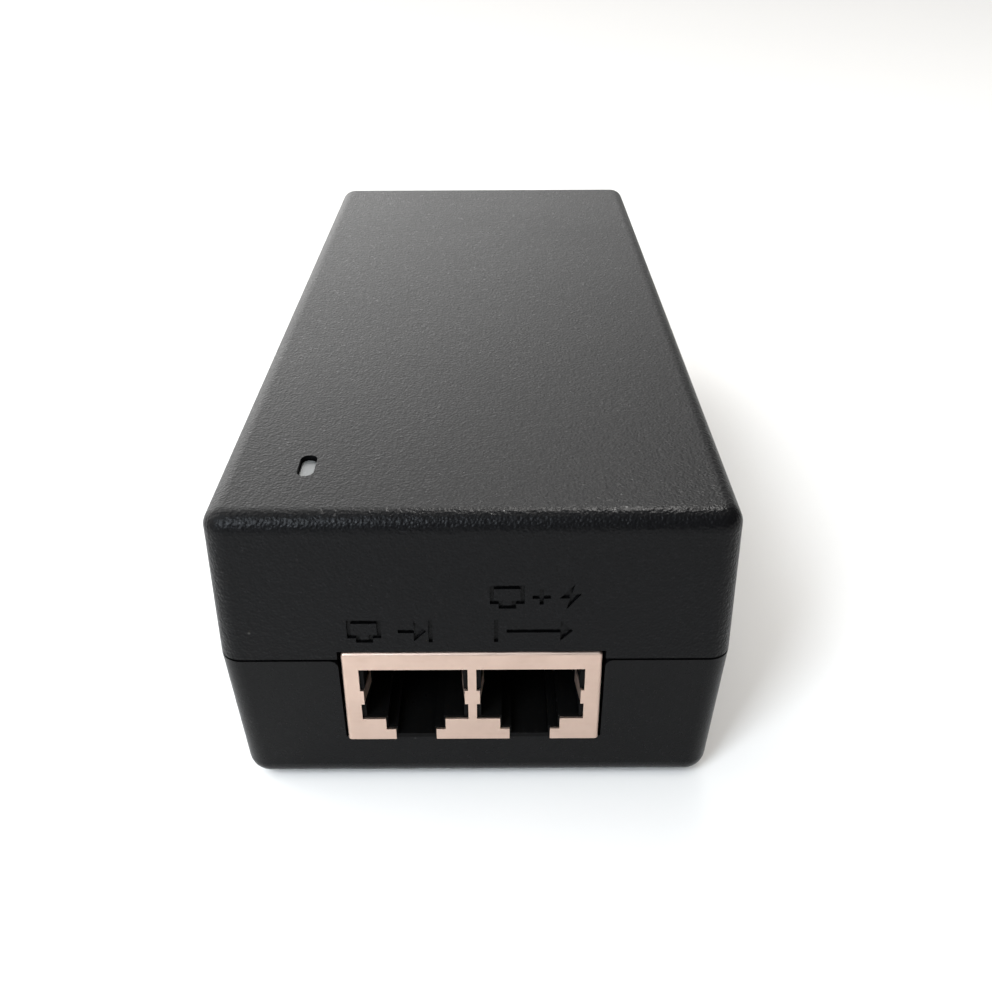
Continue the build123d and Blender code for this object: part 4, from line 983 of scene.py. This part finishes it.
class INJECTOR_OT_solder(bpy.types.Operator):
    """Solders every lead that comes through the board"""

    bl_idname = "injector.solder"
    bl_label = "Solder joints"

    def execute(self, context):
        underside = low("main_board").z
        depth, tip_collar, pad_collar, tip_chamfer = 1.3 * MM, 0.12 * MM, 0.62 * MM, 0.1 * MM
        solder = bmesh.new()
        for lead in self.lead_ends(underside - 1.5 * MM):
            x = (min(tip.x for tip in lead) + max(tip.x for tip in lead)) / 2
            y = (min(tip.y for tip in lead) + max(tip.y for tip in lead)) / 2
            reach = max(max(tip.x for tip in lead) - x, max(tip.y for tip in lead) - y)
            bmesh.ops.create_cone(
                solder, cap_ends=True, segments=12, radius1=reach + tip_collar,
                radius2=reach + pad_collar, depth=depth,
                matrix=Matrix.Translation((x, y, underside - depth / 2)),
            )
        tip_rims = [
            edge for edge in solder.edges if all(v.co.z < underside - MM for v in edge.verts)
        ]
        bevel_edges(solder, tip_rims, tip_chamfer, 1)
        painted_edge_highlight = plated_metal(
            "Solder", (0.70, 0.70, 0.72), roughness=0.22, streaks=900.0, tarnish=0.2,
            depth=10 * MICRON,
        )
        finish_piece("solder_joints", solder, painted_edge_highlight)
        return {"FINISHED"}

    def lead_ends(self, level):
        """Points of the soldered parts below a level, one list for each lead."""
        apart = 1.1 * MM  # points nearer than this are on the same lead
        not_soldered = (
            "main_board", "bottom_cover", "insulation_sheet", "case_screws", "rubber_feet",
            "rating_plate", "jack_housing", "board_screws", "top_cover",
        )
        leads = []
        for name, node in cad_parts.items():
            if name in not_soldered:
                continue
            for vert in node.data.vertices:
                if vert.co.z >= level:
                    continue
                tip = vert.co.to_2d()
                near = [lead for lead in leads if (lead[0] - tip).length < apart]
                if near:
                    near[0].append(tip)
                else:
                    leads.append([tip])
        return leads


class INJECTOR_OT_small_parts(bpy.types.Operator):
    """Sets rows of ceramic chips beside the packages that they serve"""

    bl_idname = "injector.small_parts"
    bl_label = "Chip parts"

    def execute(self, context):
        ends, bodies = bmesh.new(), bmesh.new()
        length, width, height = 2.0 * MM, 1.25 * MM, 0.7 * MM
        end_share, end_thick, round_off = 0.2, 0.01 * MM, 0.08 * MM
        first, pitch, gap = -3.5 * MM, 2.6 * MM, 1.6 * MM
        z = high("main_board").z + height / 2
        for node, count in (("poe_controller", 4), ("pwm_controller", 3)):
            y = high(node).y + gap
            for chip in range(count):
                x = middle(node).x + first + chip * pitch
                body_size = (length * (1 - 2 * end_share), width, height)
                add_block(bodies, (x, y, z), body_size, round_off, 1)
                end_size = (length * end_share, width + 2 * end_thick, height + 2 * end_thick)
                for side in (-1, 1):
                    end_x = x + side * length * (1 - end_share) / 2
                    add_block(ends, (end_x, y, z), end_size, round_off, 1)
        ceramic = lacquered("Chip ceramic", (0.30, 0.20, 0.10), 0.4, coat=0.1)
        finish_piece("chip_bodies", bodies, ceramic)
        finish_piece("chip_ends", ends, bpy.data.materials["Solder"])
        return {"FINISHED"}


class INJECTOR_OT_fuse_wire(bpy.types.Operator):
    """Strings the element through the glass fuse"""

    bl_idname = "injector.fuse_wire"
    bl_label = "Fuse element"

    def execute(self, context):
        radius, short_of_end = 0.12 * MM, 0.4 * MM
        centre = middle("fuse_tube")
        start, end = low("fuse_tube").y + short_of_end, high("fuse_tube").y - short_of_end
        wire = bmesh.new()
        add_wire(wire, (centre.x, start, centre.z), (centre.x, end, centre.z), radius)
        finish_piece("fuse_element", wire, bpy.data.materials["Tinned metal"])
        return {"FINISHED"}


class INJECTOR_OT_studio(bpy.types.Operator):
    """Sets up the pale floor, the soft lights and the camera"""

    bl_idname = "injector.studio"
    bl_label = "Studio"

    def execute(self, context):
        studio = context.scene.injector_studio
        self.lay_floor(studio)
        self.light_room(context.scene, studio)
        self.aim_camera(context.scene, studio)
        context.scene.view_settings.view_transform = "Standard"
        return {"FINISHED"}

    def lay_floor(self, studio):
        """A wide pale floor, slightly cloudy."""
        half_width, cloud_cells = 3.0, 6.0
        ground = bmesh.new()
        bmesh.ops.create_grid(ground, x_segments=1, y_segments=1, size=half_width)
        mesh = bpy.data.meshes.new("floor")
        ground.to_mesh(mesh)
        ground.free()
        floor = bpy.data.objects.new("floor", mesh)
        bpy.context.scene.collection.objects.link(floor)
        material, tree, shader, place = new_material("Pale floor", studio.floor_colour)
        cloud = noise(tree, place, cloud_cells)
        base = blend_colour(tree, cloud, shade(studio.floor_colour, 0.985), studio.floor_colour)
        tree.links.new(base, shader.inputs["Base Color"])
        shader.inputs["Roughness"].default_value = 0.6
        shader.inputs["Specular IOR Level"].default_value = 0.2
        mesh.materials.append(material)

    def light_room(self, scene, studio):
        """A room that glows behind and to the left, with a window, a ceiling light and a fill."""
        world = bpy.data.worlds.new("Room")
        world.use_nodes = True
        tree = world.node_tree
        sky = tree.nodes["Background"]
        way = tree.nodes.new("ShaderNodeTexCoord").outputs["Generated"]
        toward = put(tree, "ShaderNodeVectorMath", {"operation": "DOT_PRODUCT"})
        tree.links.new(way, toward.inputs[0])
        toward.inputs[1].default_value = studio.glow_way
        narrowness = 3.0
        glow = sums(tree, "POWER", remap(tree, toward.outputs["Value"], 0.0, 1.0), narrowness)
        glow = sums(tree, "MULTIPLY", glow, studio.glow)
        tree.links.new(sums(tree, "ADD", glow, studio.sky), sky.inputs["Strength"])
        sky.inputs["Color"].default_value = (1.0, 0.995, 0.985, 1)
        scene.world = world
        aim = Vector((0, 0, 20 * MM))
        # Name, place, width, height, power, tint, and whether it lights matt surfaces.
        for name, place, width, height, power, tint, lights_matt in (
            ("window", (-0.22, -0.36, 0.34), 0.15, 0.3, studio.window, (0.84, 0.92, 1.0), True),
            ("ceiling", (0.10, 0.28, 0.62), 0.12, 0.12, studio.ceiling, (1.0, 0.98, 0.95), False),
            ("fill", (0.3, -0.5, 0.9), 1.0, 1.0, studio.fill, (1.0, 0.97, 0.93), True),
        ):
            light = bpy.data.lights.new(name, "AREA")
            light.shape = "RECTANGLE"
            light.size = width
            light.size_y = height
            light.energy = power
            light.color = tint
            lamp = bpy.data.objects.new(name, light)
            lamp.location = place
            lamp.visible_diffuse = lights_matt
            lamp.visible_glossy = name != "fill"
            lamp.rotation_euler = (aim - lamp.location).to_track_quat("-Z", "Y").to_euler()
            scene.collection.objects.link(lamp)

    def aim_camera(self, scene, studio):
        """A camera in front of the ports and above them, looking down along the case."""
        lens = bpy.data.cameras.new("camera")
        lens.sensor_width = 36.0
        lens.lens = studio.lens
        lens.clip_start = 10 * MM
        camera = bpy.data.objects.new("camera", lens)
        camera.location = studio.eye
        camera.rotation_euler = (
            Matrix.Rotation(QUARTER_TURN - studio.tilt, 3, "X")
            @ Matrix.Rotation(studio.roll, 3, "Z")
        ).to_euler()
        scene.collection.objects.link(camera)
        scene.camera = camera


class INJECTOR_PT_panel(bpy.types.Panel):
    """Lists the injector's steps and settings in the sidebar"""

    bl_label = "PoE injector"
    bl_idname = "INJECTOR_PT_panel"
    bl_space_type = "VIEW_3D"
    bl_region_type = "UI"
    bl_category = "Injector"

    def draw(self, context):
        for settings in GROUPS_OF_SETTINGS:
            box = self.layout.box()
            held = getattr(context.scene, GROUPS_OF_SETTINGS[settings])
            for name in settings.__annotations__:
                box.prop(held, name)
        for step in STEPS:
            self.layout.operator(step.bl_idname)


GROUPS_OF_SETTINGS = {
    InjectorPlastic: "injector_plastic",
    InjectorMetal: "injector_metal",
    InjectorStudio: "injector_studio",
}
STEPS = (
    INJECTOR_OT_groups,
    INJECTOR_OT_case,
    INJECTOR_OT_jack,
    INJECTOR_OT_inlet,
    INJECTOR_OT_electronics,
    INJECTOR_OT_choke,
    INJECTOR_OT_inductor,
    INJECTOR_OT_transformer,
    INJECTOR_OT_solder,
    INJECTOR_OT_small_parts,
    INJECTOR_OT_fuse_wire,
    INJECTOR_OT_studio,
)


def register():
    """Adds the settings, the steps and the panel to Blender."""
    for group, name in GROUPS_OF_SETTINGS.items():
        bpy.utils.register_class(group)
        setattr(bpy.types.Scene, name, bpy.props.PointerProperty(type=group))
    for step in STEPS:
        bpy.utils.register_class(step)
    bpy.utils.register_class(INJECTOR_PT_panel)


def unregister():
    """Takes them out again."""
    bpy.utils.unregister_class(INJECTOR_PT_panel)
    for step in reversed(STEPS):
        bpy.utils.unregister_class(step)
    for group, name in GROUPS_OF_SETTINGS.items():
        delattr(bpy.types.Scene, name)
        bpy.utils.unregister_class(group)


def main():
    """Runs every step in order."""
    register()
    bpy.ops.injector.groups()
    bpy.ops.injector.case()
    bpy.ops.injector.jack()
    bpy.ops.injector.inlet()
    bpy.ops.injector.electronics()
    bpy.ops.injector.choke()
    bpy.ops.injector.inductor()
    bpy.ops.injector.transformer()
    bpy.ops.injector.solder()
    bpy.ops.injector.small_parts()
    bpy.ops.injector.fuse_wire()
    bpy.ops.injector.studio()


if __name__ == "__main__":
    main()
